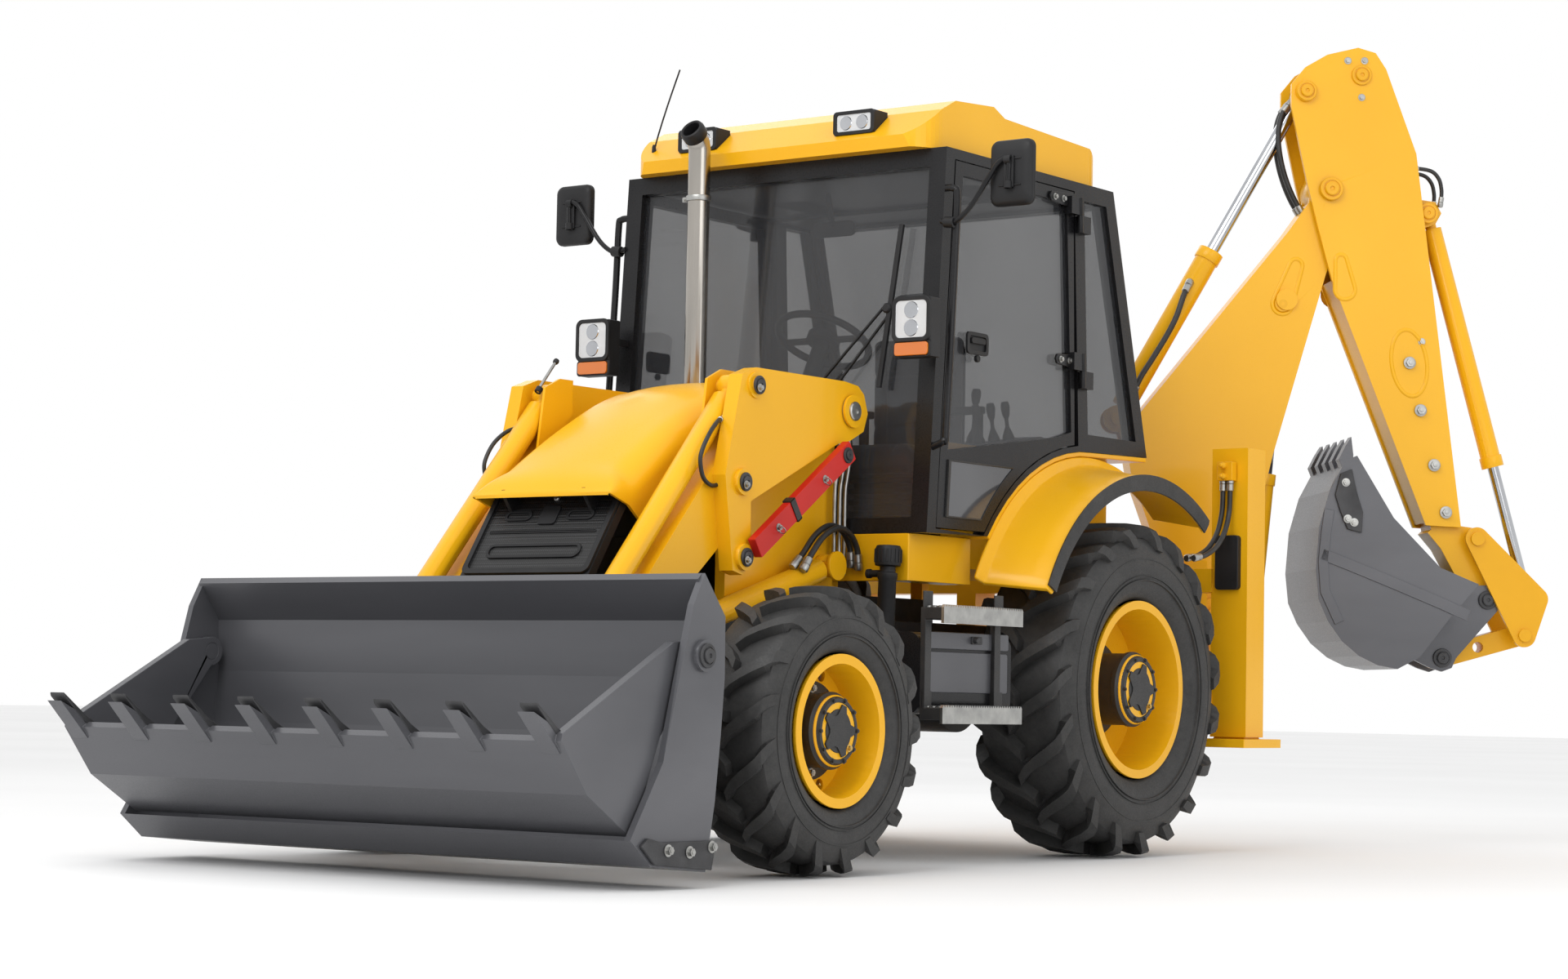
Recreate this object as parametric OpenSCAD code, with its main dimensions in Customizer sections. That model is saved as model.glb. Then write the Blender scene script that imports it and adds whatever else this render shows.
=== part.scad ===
// Backhoe loader with a clam loader bucket and a side-shift digging arm.
// Millimetres. X forward, Y to the machine's left, Z up, origin on the ground between the axles.

/* [Show] */
// Node to draw, or all of them

/* [Wheels] */
// Distance between the axles
wheelbase = 2170; // [1900:10:2500]
// Front tyre radius out to the lug tips
front_tyre_r = 500; // [420:5:600]
// Front tyre width
front_tyre_w = 320; // [240:5:420]
// Front rim radius at the flange
front_rim_r = 265; // [200:5:320]
// Front tyre centre from the middle plane
front_wheel_y = 955; // [880:5:1050]
// Kingpin from the middle plane
kingpin_y = 840; // [780:5:880]
// Rear tyre radius out to the lug tips
rear_tyre_r = 670; // [600:5:760]
// Rear tyre width
rear_tyre_w = 440; // [360:5:520]
// Rear rim radius at the flange
rear_rim_r = 355; // [280:5:420]
// Rear tyre centre from the middle plane
rear_wheel_y = 830; // [780:5:900]

/* [Chassis] */
// Outer face of a chassis rail from the middle plane
rail_y = 360; // [320:5:420]
// Rail thickness
rail_t = 60; // [30:5:90]
// Underside of the rails
rail_low_z = 620; // [560:5:680]
// Top of the rails
rail_top_z = 920; // [850:5:980]
// Front end of the rails
nose_x = 1385; // [1300:5:1450]
// Rear end of the rails
tail_x = -1880; // [-2000:5:-1800]
// Outer face of the loader tower plates
tower_y = 380; // [360:5:385]

/* [Cab] */
// Side face of the cab from the middle plane
cab_y = 780; // [700:5:820]
// Thickness of cab posts and walls
cab_wall = 55; // [40:5:80]
// Lower edge of the cab frame
cab_low_z = 1240; // [1150:5:1300]
// Upper edge of the cab frame
cab_top_z = 2720; // [2600:5:2800]
// Roof height
roof_h = 215; // [150:5:260]
// Front face of the cab at its lower edge
cab_front_x = 106; // [60:5:150]
// Backward lean of the front face
cab_front_lean = 98; // [0:5:150]
// Rear face of the cab at its upper edge
cab_rear_x = -1240; // [-1300:5:-1100]
// Backward reach of the rear face at its waist
cab_waist_x = -1540; // [-1600:5:-1400]
// Height of the rear waist
cab_waist_z = 1640; // [1500:5:1700]
// Thickness of the glass panes
glass_t = 12; // [6:1:20]

/* [Bonnet] */
// Half of the bonnet's width
bonnet_y = 325; // [280:5:325]
// Length scale of the bonnet's side outline
bonnet_len = 1250; // [1100:10:1350]
// Wall of the bonnet
bonnet_wall = 14; // [8:1:25]

/* [Loader] */
// Length scale of the loader arms
arm_len = 2000; // [1800:10:2200]
// Inner face of an arm
arm_in_y = 390; // [385:5:420]
// Face between the arm's box and its outer plate
arm_mid_y = 490; // [470:5:500]
// Outer face of an arm
arm_out_y = 550; // [530:5:570]
// Size scale of the loader bucket
bucket_h = 1000; // [900:10:1100]
// Half of the loader bucket's width
bucket_y = 1162; // [1000:5:1200]
// Number of clam teeth
tooth_count = 8; // [4:1:10]

/* [Backhoe] */
// Slew axis behind the origin
king_x = -2445; // [-2600:5:-2400]
// Side shift of the slew axis
king_y = 450; // [-580:5:580]
// Slew direction in plan from straight ahead
slew = 130; // [90:1:270]
// Length scale of the boom
boom_len = 2000; // [1800:10:2200]
// Half of the boom's width
boom_t = 85; // [70:1:100]
// Length scale of the dipper
dipper_len = 2000; // [1800:10:2200]
// Half of the dipper's width
dipper_t = 118; // [110:1:140]
// Size scale of the digging bucket
dig_size = 1000; // [800:10:1100]
// Half of the digging bucket's width
dig_t = 300; // [150:5:450]

/* [Stabilisers] */
// Inner face of the stabiliser tubes
leg_in_y = 900; // [880:5:950]
// Outer face of the stabiliser tubes
leg_out_y = 1070; // [1030:5:1150]
// Top of the stabiliser tubes
leg_top_z = 1700; // [1500:10:1800]
// Underside of the stabiliser feet
foot_z = 437; // [300:1:480]

/* [Hidden] */
$fn = 48;

yellow = [0.93, 0.66, 0.1];
black = [0.08, 0.08, 0.09];
grey = [0.3, 0.31, 0.32];
steel = [0.75, 0.76, 0.78];
rubber = [0.05, 0.05, 0.05];
glass = [0.5, 0.6, 0.65, 0.4];
red = [0.75, 0.1, 0.08];

fit = 0.3;
join = 1;
gap = 5;
slide_gap = 0.6;
front_x = wheelbase / 2;
rear_x = -wheelbase / 2;

// Wheel details
rim_lip = 22;
rim_gap = 3;
rim_t = 12;
disc_t = 16;
hub_wall = 14;
front_hub_r = 124;
rear_hub_r = 140;
front_spindle_r = 45;
rear_spindle_r = 60;
front_disc_y = -20;
rear_disc_y = -40;
front_hub_in = -50;
front_hub_out = 128;
rear_hub_in = -112;
rear_hub_out = 190;
front_bore_out = -20;
rear_bore_out = 60;
bolt_r = 11;
bolt_h = 12;
bolt_count = 8;
bolt_step = 360 / bolt_count;
bolt_ring = 22;
// Half sections of a tyre: shares of half its width and of its height over the bead
tyre_shares = [[0.77, 0], [0.785, 0.17], [1, 0.42], [0.97, 0.78], [0.86, 1]];
rim_seat_share = 0.79;
front_lugs = 17;
rear_lugs = 19;
lug_depth_share = 0.07;
lug_root_share = 0.86;
lug_shares = [[0.19, -0.04], [0.06, -0.04], [-0.19, 0.465], [-0.04, 0.465]];

// Axle details
beam_x = 75;
beam_z = 75;
beam_y = 690;
yoke_x = 60;
yoke_y = 640;
ear_x = 55;
ear_low = 112;
ear_high = 148;
pin_r = 30;
knuckle_x = 50;
knuckle_in = 48;
knuckle_out = 28;
knuckle_z = 107;
stub_z = 50;
trunnion_r = 40;
trunnion_x = 150;
hanger_x = 110;
hanger_t = 30;
hanger_y = 120;
hanger_low = 430;
tube_r = 100;
tube_y = 700;
diff_r = 190;
diff_y = 150;

// Chassis details
tower_t = 45;
tower_len = 900;
tower_shares = [[-0.15, -0.87], [0.6, -0.87], [0.6, -0.54], [0.15, -0.06], [0.11, 0.07], [0, 0.12],
  [-0.11, 0.07], [-0.15, -0.1]];
lift_pivot = [285, 1690];
lift_pin_r = 45;
lift_cap_r = 62;
lift_cap_t = 12;
lift_boss_r = 93;
ram_base = [265, 1110];
ram_pin_r = 30;
ram_boss_r = 60;
cross_x = [1300, 500, -600, -1500];
cross_t = 60;
nose_t = 60;
nose_low = 560;
nose_top = 1015;
nose_y = 370;
rail_arch = 100.3;

// Rear frame details
leg_back_x = -2045;
leg_front_x = -1890;
beam_back_x = -2040;
low_beam = [560, 660];
high_beam = [1090, 1190];
tube_wall = 12;
tube_low_z = 480;
web_y = 330;
web_t = 50;
foot_len = 330;
foot_w = 250;
foot_t = 36;
leg_gap = 0.6;
leg_inside_z = 1650;
tie_eye_r = 26;
tie_plate_t = 30;
tie_plate_r = 60;
tie_x = -1820;
tie_y = 560;
tie_z = 610;
tow_r = 24;
tow_x = 1460;
tow_z = 605;
tow_half = 45;
tow_t = 40;
tow_gap = 40;

// Engine
engine_y = 210;
engine_front = 1150;
engine_back = 150;
engine_low = 700;
engine_top = 1180;
head_y = 130;
head_front = 1000;
head_back = 150;
head_top = 1430;
gear_y = 200;
gear_back = -820;
gear_low = 640;
gear_top = 1020;
engine_foot = 70;
engine_foot_x = [800, 100];
engine_foot_z = 760;

// Grille: shares of the bonnet's length from the nose of the rails
grille_y = 300;
grille_shares = [[0.096, 0.007], [0.096, -0.012], [0, -0.012], [0, 0.005], [0.066, 0.005],
  [-0.098, 0.258], [-0.073, 0.269]];
grille_hinge_r = 10;
grille_ear_y = 180;
grille_ear_t = 16;
hinge_half = 40;
bonnet_hinge = [1392, 1330];
hinge_ear_shares = [[0.012, 0.008], [-0.012, 0.008], [-0.09, -0.03], [-0.05, -0.09], [0.01, -0.01]];

// Bonnet: shares of its length from its hinge
bonnet_shares = [[0.022, -0.008], [-0.03, 0.056], [-0.16, 0.15], [-0.32, 0.248], [-0.5, 0.338],
  [-0.66, 0.372], [-1.02, 0.392], [-1.02, -0.07], [-0.12, -0.088], [-0.06, -0.04]];
bonnet_cavity_shares = [[0.005, -0.012], [-0.038, 0.045], [-0.165, 0.136], [-0.325, 0.234],
  [-0.504, 0.324], [-0.66, 0.358], [-1.1, 0.378], [-1.1, -0.2], [-0.1, -0.2], [-0.06, -0.045]];
bonnet_round = 90;
bonnet_low_z = 1100;
bonnet_high_z = 1835;
notch_x = 270;
notch_y = -205;
notch_z = 1400;
lug_r = 18;

// Exhaust
stack_x = 205;
stack_y = -262;
stack_r = 44;
stack_low = 1290;
stack_pipe_r = 32;
stack_pipe_z = 1340;
stack_top = 2760;
stack_bend = 80;
stack_bend_angle = 55;
stack_wall = 5;

// Cab details
door_post = 60;
door_top_drop = 40;
door_low_lift = 18;
door_back_top = -930;
door_back_low = -988;
fender_r = 900;
fender_clear = 65;
fender_clear_r = fender_r + fender_clear;
door_back_rise = 15;
door_back_z = rear_tyre_r + fender_clear_r + door_back_rise;
cab_arc_r = fender_clear_r - gap;
cab_arc_from = ceil(asin((cab_low_z - rear_tyre_r) / cab_arc_r));
cab_arc_to = 96;
door_arc_from = floor(asin((cab_low_z + door_low_lift - rear_tyre_r) / (fender_clear_r + door_low_lift)));
door_arc_to = 84;
door_t = 38;
door_frame = 55;
door_panel_drop = 75;
door_panel_z = rear_tyre_r + fender_clear_r - door_panel_drop;
window_rise = 65;
window_low_z = rear_tyre_r + fender_clear_r + window_rise;
screen_low_z = 1300;
header_h = 70;
side_post = 75;
door_axis_y = 805;
hinge_r = 12;
hinge_h = 70;
hinge_zs = [2580, 1950];
door_lean = atan2(door_back_top - door_back_low, cab_top_z - door_back_z);
arc_step = 6;
arc_sag = 2;

// Cab base, fenders and inside
floor_y = 590;
floor_low = 1130;
floor_top = 1190;
skirt_y = 700;
skirt_low = 1060;
skirt_back = -323;
inner_wall_t = 20;
fender_drop = 50;
fender_t = 24;
fender_out = 1052;
fender_lip = 16;
fender_start = 26;
fender_sweep = 100;
seat_x = -800;
seat_z = 1190;
seat_w = 480;
seat_base = 300;
seat_h = 330;
cushion_t = 130;
back_h = 620;
back_t = 120;
head_h = 190;
head_w = 260;
console_x = -205;
console_w = 300;
console_d = 220;
console_h = 520;
column_r = 34;
column_len = 420;
column_lean = 28;
wheel_ring_r = 190;
wheel_tube_r = 15;
spoke_w = 26;

// Tanks and steps
tank_x = [-230, 390];
tank_y = [460, 950];
tank_z = [560, 860];
tank_round = 50;
hang_t = 40;
step_zs = [540, 905];
step_x = [-150, 390];
step_y = [956, 1045];
step_t = 45;
step_hang_t = 16;
step_hang_x = [-120, 350];

// Roof: shares of the roof's length from its front lower edge
roof_front_x = 80;
roof_back_x = -1290;
roof_len = 1370;
roof_y = 720;
roof_shares = [[0, 0], [0.01, 0.035], [-0.09, 0.115], [-0.16, 0.15], [-0.36, 0.165], [-0.42, 0.14],
  [-0.9, 0.125], [-0.985, 0.08], [-1, 0.01], [-0.96, 0]];
roof_corner = 160;
roof_reach = 32;
roof_lamp_y = 384;
lamp_w = 190;
lamp_h = 90;
lamp_d = 90;
lamp_lift = 75;
lamp_x0 = -30;

// Mirrors and lamps
mirror_y = 1073;
mirror_z = 2595;
mirror_w = 185;
mirror_h = 250;
mirror_t = 44;
mirror_x = 0;
mirror_sink = 4;
arm_r = 14;
lamp_y = 775;
lamp_z = 2035;
lamp_x = 150;
lamp_size = 165;
lamp_depth = 70;
signal_h = 60;

// Loader outlines: shares of the arm's length from the lift pivot
arm_plate_shares = [[-0.022, 0.05], [0.022, 0.055], [0.298, 0.055], [0.34, 0.04], [0.385, -0.145],
  [0.358, -0.315], [0.328, -0.322], [0.305, -0.3], [0.308, -0.188], [0.042, -0.065], [0, -0.055],
  [-0.042, -0.035], [-0.055, 0], [-0.042, 0.035]];
arm_box_shares = [[0.288, -0.025], [0.702, -0.488], [0.782, -0.68], [0.791, -0.71], [0.778, -0.741],
  [0.75, -0.751], [0.72, -0.74], [0.658, -0.63], [0.598, -0.495], [0.508, -0.395], [0.358, -0.27],
  [0.308, -0.188]];
tilt_ear_shares = [[0.26, 0.055], [0.298, 0.055], [0.34, 0.035], [0.36, -0.1], [0.288, -0.04],
  [0.26, -0.01]];
lift_slot_shares = [[0.42, -0.4], [0.42, -0.318], [0.5, -0.348], [0.565, -0.385], [0.6, -0.389],
  [0.615, -0.41], [0.615, -0.44], [0.59, -0.5], [0.5, -0.5]];
lift_ear_shares = [[0.5, -0.43], [0.56, -0.48], [0.6, -0.46], [0.6, -0.36], [0.46, -0.33]];
ear_t = 12;
arm_pin_shares = [[0.3, 0.0225], [0.5275, -0.45], [0.75, -0.71]];
arm_pins = pts(arm_pin_shares, lift_pivot, arm_len);
tilt_base = arm_pins[0];
lift_end = arm_pins[1];
bucket_pin = arm_pins[2];
bucket_pin_shares = [[-0.033, 0.47], [0.165, 0.47]];
bucket_pins = pts(bucket_pin_shares, bucket_pin, bucket_h);
tilt_end = bucket_pins[0];
clam_pin = bucket_pins[1];
lift_len = norm(lift_end - ram_base);
lift_barrel_rest = 136.6171;
lift_barrel_len = lift_len - lift_barrel_rest;
lift_rod_rest = 116.6171;
lift_rod_in = lift_len - lift_rod_rest;
tilt_len = norm(tilt_end - tilt_base);
tilt_barrel_rest = 199.7401;
tilt_barrel_len = tilt_len - tilt_barrel_rest;
tilt_rod_rest = 139.7401;
tilt_rod_in = tilt_len - tilt_rod_rest;
bucket_pin_r = 40;
clam_pin_r = 30;
clam_hub_r = 52;
ram_y = 440;
ram_eye_half = 30;
ram_eye_r = 44;
ram_neck = 70;
lift_barrel_r = 46;
lift_rod_r = 28;
tilt_barrel_r = 44;
tilt_rod_r = 26;
gland_len = 50;
gland_r = 6;
cross_tube = [1530, 800];
cross_tube_r = 60;
head_r = 48;
head_t = 14;
strut_a = [369, 1517];
strut_b = [882, 1164];
strut_w = 78;
strut_t = 34;
mid_pins = [[955, 1380], [940, 1110]];

// Loader bucket outlines: shares of its height from the bucket pin
blade_shares = [[0.165, 0.735], [0.053, 0.599], [0.05, 0.4], [0.065, 0.217], [0.09, 0], [0.133, -0.221],
  [0.413, -0.196], [0.517, -0.112], [0.395, -0.158], [0.18, -0.172], [0.135, 0], [0.105, 0.217],
  [0.09, 0.4], [0.095, 0.585], [0.187, 0.715]];
end_shares = [[0.165, 0.735], [0.221, 0.633], [0.36, 0.13], [0.517, -0.112], [0.413, -0.196],
  [0.133, -0.221], [0.09, 0], [0.065, 0.217], [0.05, 0.4], [0.053, 0.599]];
ear_shares = [[0.075, 0.58], [-0.015, 0.535], [-0.067, 0.51], [-0.077, 0.465], [-0.063, 0.13],
  [-0.08, 0.01], [-0.055, -0.058], [0.005, -0.082], [0.14, -0.105], [0.1, 0.05], [0.083, 0.217],
  [0.07, 0.4]];
end_t = 25;
bucket_ear_t = 22;
bucket_ear_gap = 8;
// Clam outlines: shares of the bucket's height from the clam pin
wing_shares = [[0, 0.05], [0.113, 0.04], [0.644, -0.25], [0.65, -0.275], [0.525, -0.44],
  [0.312, -0.572], [0.288, -0.55], [0.17, -0.26], [0, -0.05]];
jaw_shares = [[0.65, -0.275], [0.525, -0.44], [0.312, -0.572], [0.288, -0.55], [0.505, -0.412],
  [0.625, -0.258]];
tooth_shares = [[0.6, -0.285], [0.625, -0.315], [0.752, -0.185], [0.64, -0.235]];
wing_t = 35;
clam_gap = 10;
tooth_w = 70;
tooth_edge = 60;

// Backhoe points in its own plane: reach from the slew axis and height
boom_pin = [130, 1010];
boom_tip = [632, 2929];
boom_ram_base = [285, 735];
boom_ram_end = [442, 2430];
dipper_ram_base = [-310, 1880];
dipper_ram_end = [516, 3369];
bucket_ram_base = [1104, 2846];
bucket_ram_end = [1569, 1111];
tip_pin = [1299, 1374];
dig_pin = [1353, 1103];
link_pin = [1514, 948];
link_end = [1149, 842];
lift_eye = [1330, 894];
slide_dir = [0.208, -0.978];

// Boom outline: shares of its length from its foot pin
boom_shares = [[-0.075, -0.005], [-0.15, 0.2], [-0.19, 0.31], [-0.2, 0.37], [-0.185, 0.43],
  [-0.14, 0.488], [0.16, 0.865], [0.205, 0.93], [0.215, 1], [0.255, 1.015], [0.298, 0.99],
  [0.305, 0.945], [0.245, 0.77], [0.128, 0.359], [0.04, -0.012], [0.028, -0.034], [0, -0.043],
  [-0.04, -0.03]];
boom_cover_shares = [[-0.075, -0.005], [-0.15, 0.2], [-0.19, 0.31], [-0.2, 0.37], [-0.185, 0.43],
  [-0.14, 0.488], [0.16, 0.865], [0.205, 0.93], [0.225, 0.91], [0.18, 0.85], [-0.12, 0.474],
  [-0.16, 0.42], [-0.175, 0.37], [-0.165, 0.315], [-0.125, 0.205], [-0.05, 0.005]];
boom_ear_shares = [[-0.15, 0.2], [-0.215, 0.41], [-0.205, 0.46], [-0.15, 0.44], [-0.11, 0.4],
  [-0.1, 0.2]];
boom_plate_t = 25;
boom_root_r = 86;
boom_tip_r = 95;
boom_pin_r = 40;
boom_tube_t = 14;
boom_ear_t = 20;

// Dipper outlines: shares of its length from its pivot
dipper_shares = [[-0.091, 0.236], [-0.06, 0.275], [-0.01, 0.305], [0.06, 0.323], [0.1, 0.312],
  [0.124, 0.276], [0.194, 0.086], [0.3, -0.752], [0.22, -0.749], [0.004, -0.204], [-0.03, -0.08],
  [-0.055, 0.02], [-0.091, 0.186]];
dipper_front_shares = [[0.222, -0.743], [0.008, -0.203], [0.019, -0.199], [0.233, -0.739]];
dipper_back_shares = [[0.19, 0.092], [0.2955, -0.744], [0.2845, -0.743], [0.179, 0.09]];
dipper_top_shares = [[0.06, 0.318], [0.097, 0.308], [0.12, 0.274], [0.1885, 0.088], [0.174, 0.083],
  [0.109, 0.268], [0.09, 0.297], [0.06, 0.306]];
dipper_plate_t = 22;
dipper_slot = 56;
slide_half = 46;
slide_t = 84;
slide_top_z = 2880;
slide_low = [1150, 1424];
head_shares = [[-0.25, 0.31], [-0.155, 0.335], [-0.008, 0.317], [0.01, 0.271], [-0.008, 0.217],
  [0.067, 0.007], [0.047, -0.043], [0, -0.065], [-0.053, -0.043], [-0.203, 0.227], [-0.263, 0.297]];
bracket_t = 48;
bracket_ear = 16;
bracket_len = 230;
bracket_shares = [[-0.95, 0.35], [0.1, 0.22], [0.22, 0], [0.1, -0.22], [-0.95, -0.6]];
dig_pin_r = 30;

// Digging bucket outlines: shares of its size from its pin
dig_side_shares = [[-0.688, 0.597], [-0.76, 0.46], [-0.805, 0.3], [-0.819, 0.115], [-0.805, -0.02],
  [-0.763, -0.113], [-0.7, -0.2], [-0.623, -0.263], [-0.54, -0.302], [-0.452, -0.317], [-0.353, -0.263],
  [-0.223, -0.093], [-0.091, 0.062], [-0.263, 0.132], [-0.473, 0.347], [-0.638, 0.617]];
dig_notch_shares = [[-0.19, -0.2], [-0.19, 0.1], [0.05, 0.1], [0.05, -0.2]];
dig_hollow_shares = [[-0.655, 0.6], [-0.735, 0.45], [-0.78, 0.295], [-0.794, 0.115], [-0.78, -0.01],
  [-0.742, -0.1], [-0.682, -0.182], [-0.61, -0.242], [-0.534, -0.278], [-0.456, -0.291],
  [-0.369, -0.243], [-0.243, -0.078], [-0.13, 0.062], [-0.05, 0.1], [-0.3, 0.5], [-0.6, 0.8]];
dig_ear_shares = [[0.047, 0.047], [0.067, 0], [0.045, -0.048], [-0.14, -0.26], [-0.16, -0.305],
  [-0.204, -0.322], [-0.26, -0.305], [-0.36, -0.258], [-0.36, -0.24], [-0.223, -0.08], [-0.1, 0.062],
  [0, 0.066]];
dig_tooth_shares = [[-0.7, 0.55], [-0.72, 0.6], [-0.69, 0.66], [-0.665, 0.7], [-0.655, 0.62],
  [-0.66, 0.56]];
dig_teeth = 5;
dig_tooth_w = 62;
dig_side_t = 24;
dig_ear_in = 92;
dig_ear_t = 25;
tip_in = 122;
tip_t = 20;
link_t = 50;
link_r = 46;
link_pin_r = 28;
tip_r = 52;
eye_r = 24;

// Carriage and kingpost
carriage_half = 260;
carriage_back = -2200;
carriage_high = 1240;
hook_front = -1905;
hook_t = 42;
king_ears = [[665, 725], [860, 920]];
king_neck = [105, 80];
king_pin_r = 45;
king_stub = 80;
king_r = 100;
king_low = 732;
king_high = 853;
king_ear_t = 36;
king_ear_in = 92;
king_shares = [[-0.06, -0.27], [-0.06, -0.168], [0.1, -0.168], [0.1, -0.082], [0.06, -0.07], [0.05, 0],
  [0.07, 0.06], [0.13, 0.085], [0.19, 0.06], [0.215, 0], [0.21, -0.1], [0.26, -0.2], [0.33, -0.235],
  [0.345, -0.28], [0.315, -0.33], [0.25, -0.34], [0.12, -0.27]];
king_len = 1000;

// Backhoe rams
boom_ram_r = 44;
boom_ram_len = 920;
boom_rod_r = 32;
boom_rod_in = 1020;
dipper_ram_r = 52;
dipper_ram_len = 880;
dipper_rod_r = 30;
dipper_rod_in = 875;
bucket_ram_r = 44;
bucket_ram_len = 1180;
bucket_rod_r = 25;
bucket_rod_in = 1150;

// Points of an outline from shares of one size
function pts(shares, o, s) = [for (p = shares) [o[0] + p[0] * s, o[1] + p[1] * s]];
// Points of an arc about the rear axle
function arch(r, a, b) = [for (t = [a : arc_step : b]) [rear_x + r * cos(t), rear_tyre_r + r * sin(t)]];
// Points of an outline in the other order
function flip(p) = [for (i = [len(p) - 1 : -1 : 0]) p[i]];
// Point on the cab's front face, on its rear face
function cab_front(z) = cab_front_x - cab_front_lean * (z - cab_low_z) / (cab_top_z - cab_low_z);
function cab_rear(z) = cab_waist_x + (cab_rear_x - cab_waist_x) * (z - cab_waist_z) / (cab_top_z - cab_waist_z);
// Rear edge of a door
function door_back(z) = door_back_low + (door_back_top - door_back_low) * (z - door_back_z) / (cab_top_z - door_back_z);

// An XZ outline between two Y faces
module slab(points, y0, y1) {
  translate([0, y1, 0])
    rotate([90, 0, 0])
      linear_extrude(y1 - y0)
        polygon(points);
}

// A box between two corners
module block(a, b) {
  translate(a)
    cube(b - a);
}

// A round bar along Y at an XZ point
module pin(p, r, y0, y1) {
  translate([p[0], y1, p[1]])
    rotate([90, 0, 0])
      cylinder(r = r, h = y1 - y0);
}

// A round bar in the XZ plane between two points
module bar(p, q, r) {
  translate([p[0], 0, p[1]])
    rotate([0, atan2(q[0] - p[0], q[1] - p[1]), 0])
      cylinder(r = r, h = norm(q - p));
}

// Children on both sides of the middle plane
module both() {
  children();
  mirror([0, 1, 0])
    children();
}

// Point along the line from p to q
function along(p, q, d) = p + (q - p) * d / norm(q - p);

// Barrel of a ram: eye at p, gland towards q
module ram_barrel(p, q, len, r, half, rod_r, bore_r) {
  difference() {
    union() {
      bar(along(p, q, ram_eye_r / 2), along(p, q, ram_neck + gap), half - gap);
      bar(along(p, q, ram_neck), along(p, q, len), r);
      bar(along(p, q, len - gland_len), along(p, q, len), r + gland_r);
      pin(p, ram_eye_r, -half, half);
    }
    bar(along(p, q, ram_neck + 2 * gap), along(p, q, len + gap), rod_r + fit);
    pin(p, bore_r + fit, -half - gap, half + gap);
  }
}

// Rod of a ram: eye at q
module ram_rod(p, q, inside, r, half) {
  union() {
    bar(along(q, p, inside), along(q, p, ram_eye_r / 2), r);
    pin(q, ram_eye_r, -half, half);
  }
}

// Solid of revolution about the Y axis through a wheel centre
module turned(x, y, z, side) {
  translate([x, y, z])
    rotate([-90 * side, 0, 0])
      rotate_extrude()
        children();
}

// Slanted bars across both halves of a tread
module lug_bars(r, w, count) {
  reach = w * max([for (p = lug_shares) abs(p[0])]);
  root = r * lug_root_share;
  for (i = [0 : count - 1], s = [0, 1])
    rotate([0, (i + s / 2) * 360 / count, 0])
      mirror([0, s, 0])
        translate([0, 0, root])
          linear_extrude(sqrt(r * r - reach * reach) - root)
            polygon([for (p = lug_shares) w * p]);
}
module tyre(x, y, r, w, rim_r, count, side) {
  bead = rim_r - rim_lip + fit;
  deep = r * lug_depth_share;
  half = [for (p = tyre_shares) [bead + p[1] * (r - deep - bead), p[0] * w / 2]];
  color(rubber)
    union() {
      turned(x, y, r, side)
        polygon(concat(half, [for (p = flip(half)) [p[0], -p[1]]]));
      translate([x, y, r])
        lug_bars(r, w, count);
    }
}

module wheel(x, y, r, w, rim_r, hub_r, disc_y, hub_in, hub_out, spindle_r, bore_out, side) {
  seat = rim_r - rim_lip;
  edge = rim_seat_share * w / 2 + rim_gap;
  color(yellow)
    difference() {
      turned(x, y, r, side)
        polygon([[hub_r + fit, disc_y], [seat - rim_t, disc_y], [seat - rim_t, -edge - rim_t],
          [rim_r, -edge - rim_t], [rim_r, -edge], [seat, -edge], [seat, edge], [rim_r, edge],
          [rim_r, edge + rim_t], [seat - rim_t, edge + rim_t], [seat - rim_t, disc_y + disc_t],
          [hub_r + fit, disc_y + disc_t]]);
      for (i = [0 : bolt_count - 1])
        translate([x, y, r])
          rotate([0, i * bolt_step + bolt_step / 2, 0])
            translate([0, 0, (seat + hub_r + bolt_ring * 2) / 2])
              rotate([90, 0, 0])
                cylinder(r = bolt_ring, h = w, center = true);
    }
  color(black)
    union() {
      turned(x, y, r, side)
        polygon([[spindle_r + fit, hub_in], [hub_r, hub_in], [hub_r, disc_y + disc_t + fit],
          [hub_r + bolt_ring * 2, disc_y + disc_t + fit],
          [hub_r + bolt_ring * 2, disc_y + disc_t + hub_wall], [hub_r, disc_y + disc_t + hub_wall],
          [hub_r, hub_out - hub_wall], [hub_r - hub_wall, hub_out], [0, hub_out], [0, bore_out + gap],
          [spindle_r + fit, bore_out + gap]]);
      for (i = [0 : bolt_count - 1])
        translate([x, y + side * (disc_y + disc_t + hub_wall), r])
          rotate([0, i * bolt_step, 0])
            translate([0, 0, hub_r + bolt_ring])
              rotate([-90 * side, 0, 0])
                cylinder(r = bolt_r, h = bolt_h);
    }
}

module tyre_front_left() tyre(front_x, front_wheel_y, front_tyre_r, front_tyre_w, front_rim_r,
  front_lugs, 1);
module tyre_front_right() tyre(front_x, -front_wheel_y, front_tyre_r, front_tyre_w, front_rim_r,
  front_lugs, -1);
module tyre_rear_left() tyre(rear_x, rear_wheel_y, rear_tyre_r, rear_tyre_w, rear_rim_r, rear_lugs, 1);
module tyre_rear_right() tyre(rear_x, -rear_wheel_y, rear_tyre_r, rear_tyre_w, rear_rim_r, rear_lugs,
  -1);

module front_wheel(side) {
  wheel(front_x, side * front_wheel_y, front_tyre_r, front_tyre_w, front_rim_r, front_hub_r,
    front_disc_y, front_hub_in, front_hub_out, front_spindle_r, front_bore_out, side);
}

module rear_wheel(side) {
  wheel(rear_x, side * rear_wheel_y, rear_tyre_r, rear_tyre_w, rear_rim_r, rear_hub_r, rear_disc_y,
    rear_hub_in, rear_hub_out, rear_spindle_r, rear_bore_out, side);
}

module wheel_front_left() front_wheel(1);
module wheel_front_right() front_wheel(-1);
module wheel_rear_left() rear_wheel(1);
module wheel_rear_right() rear_wheel(-1);

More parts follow.
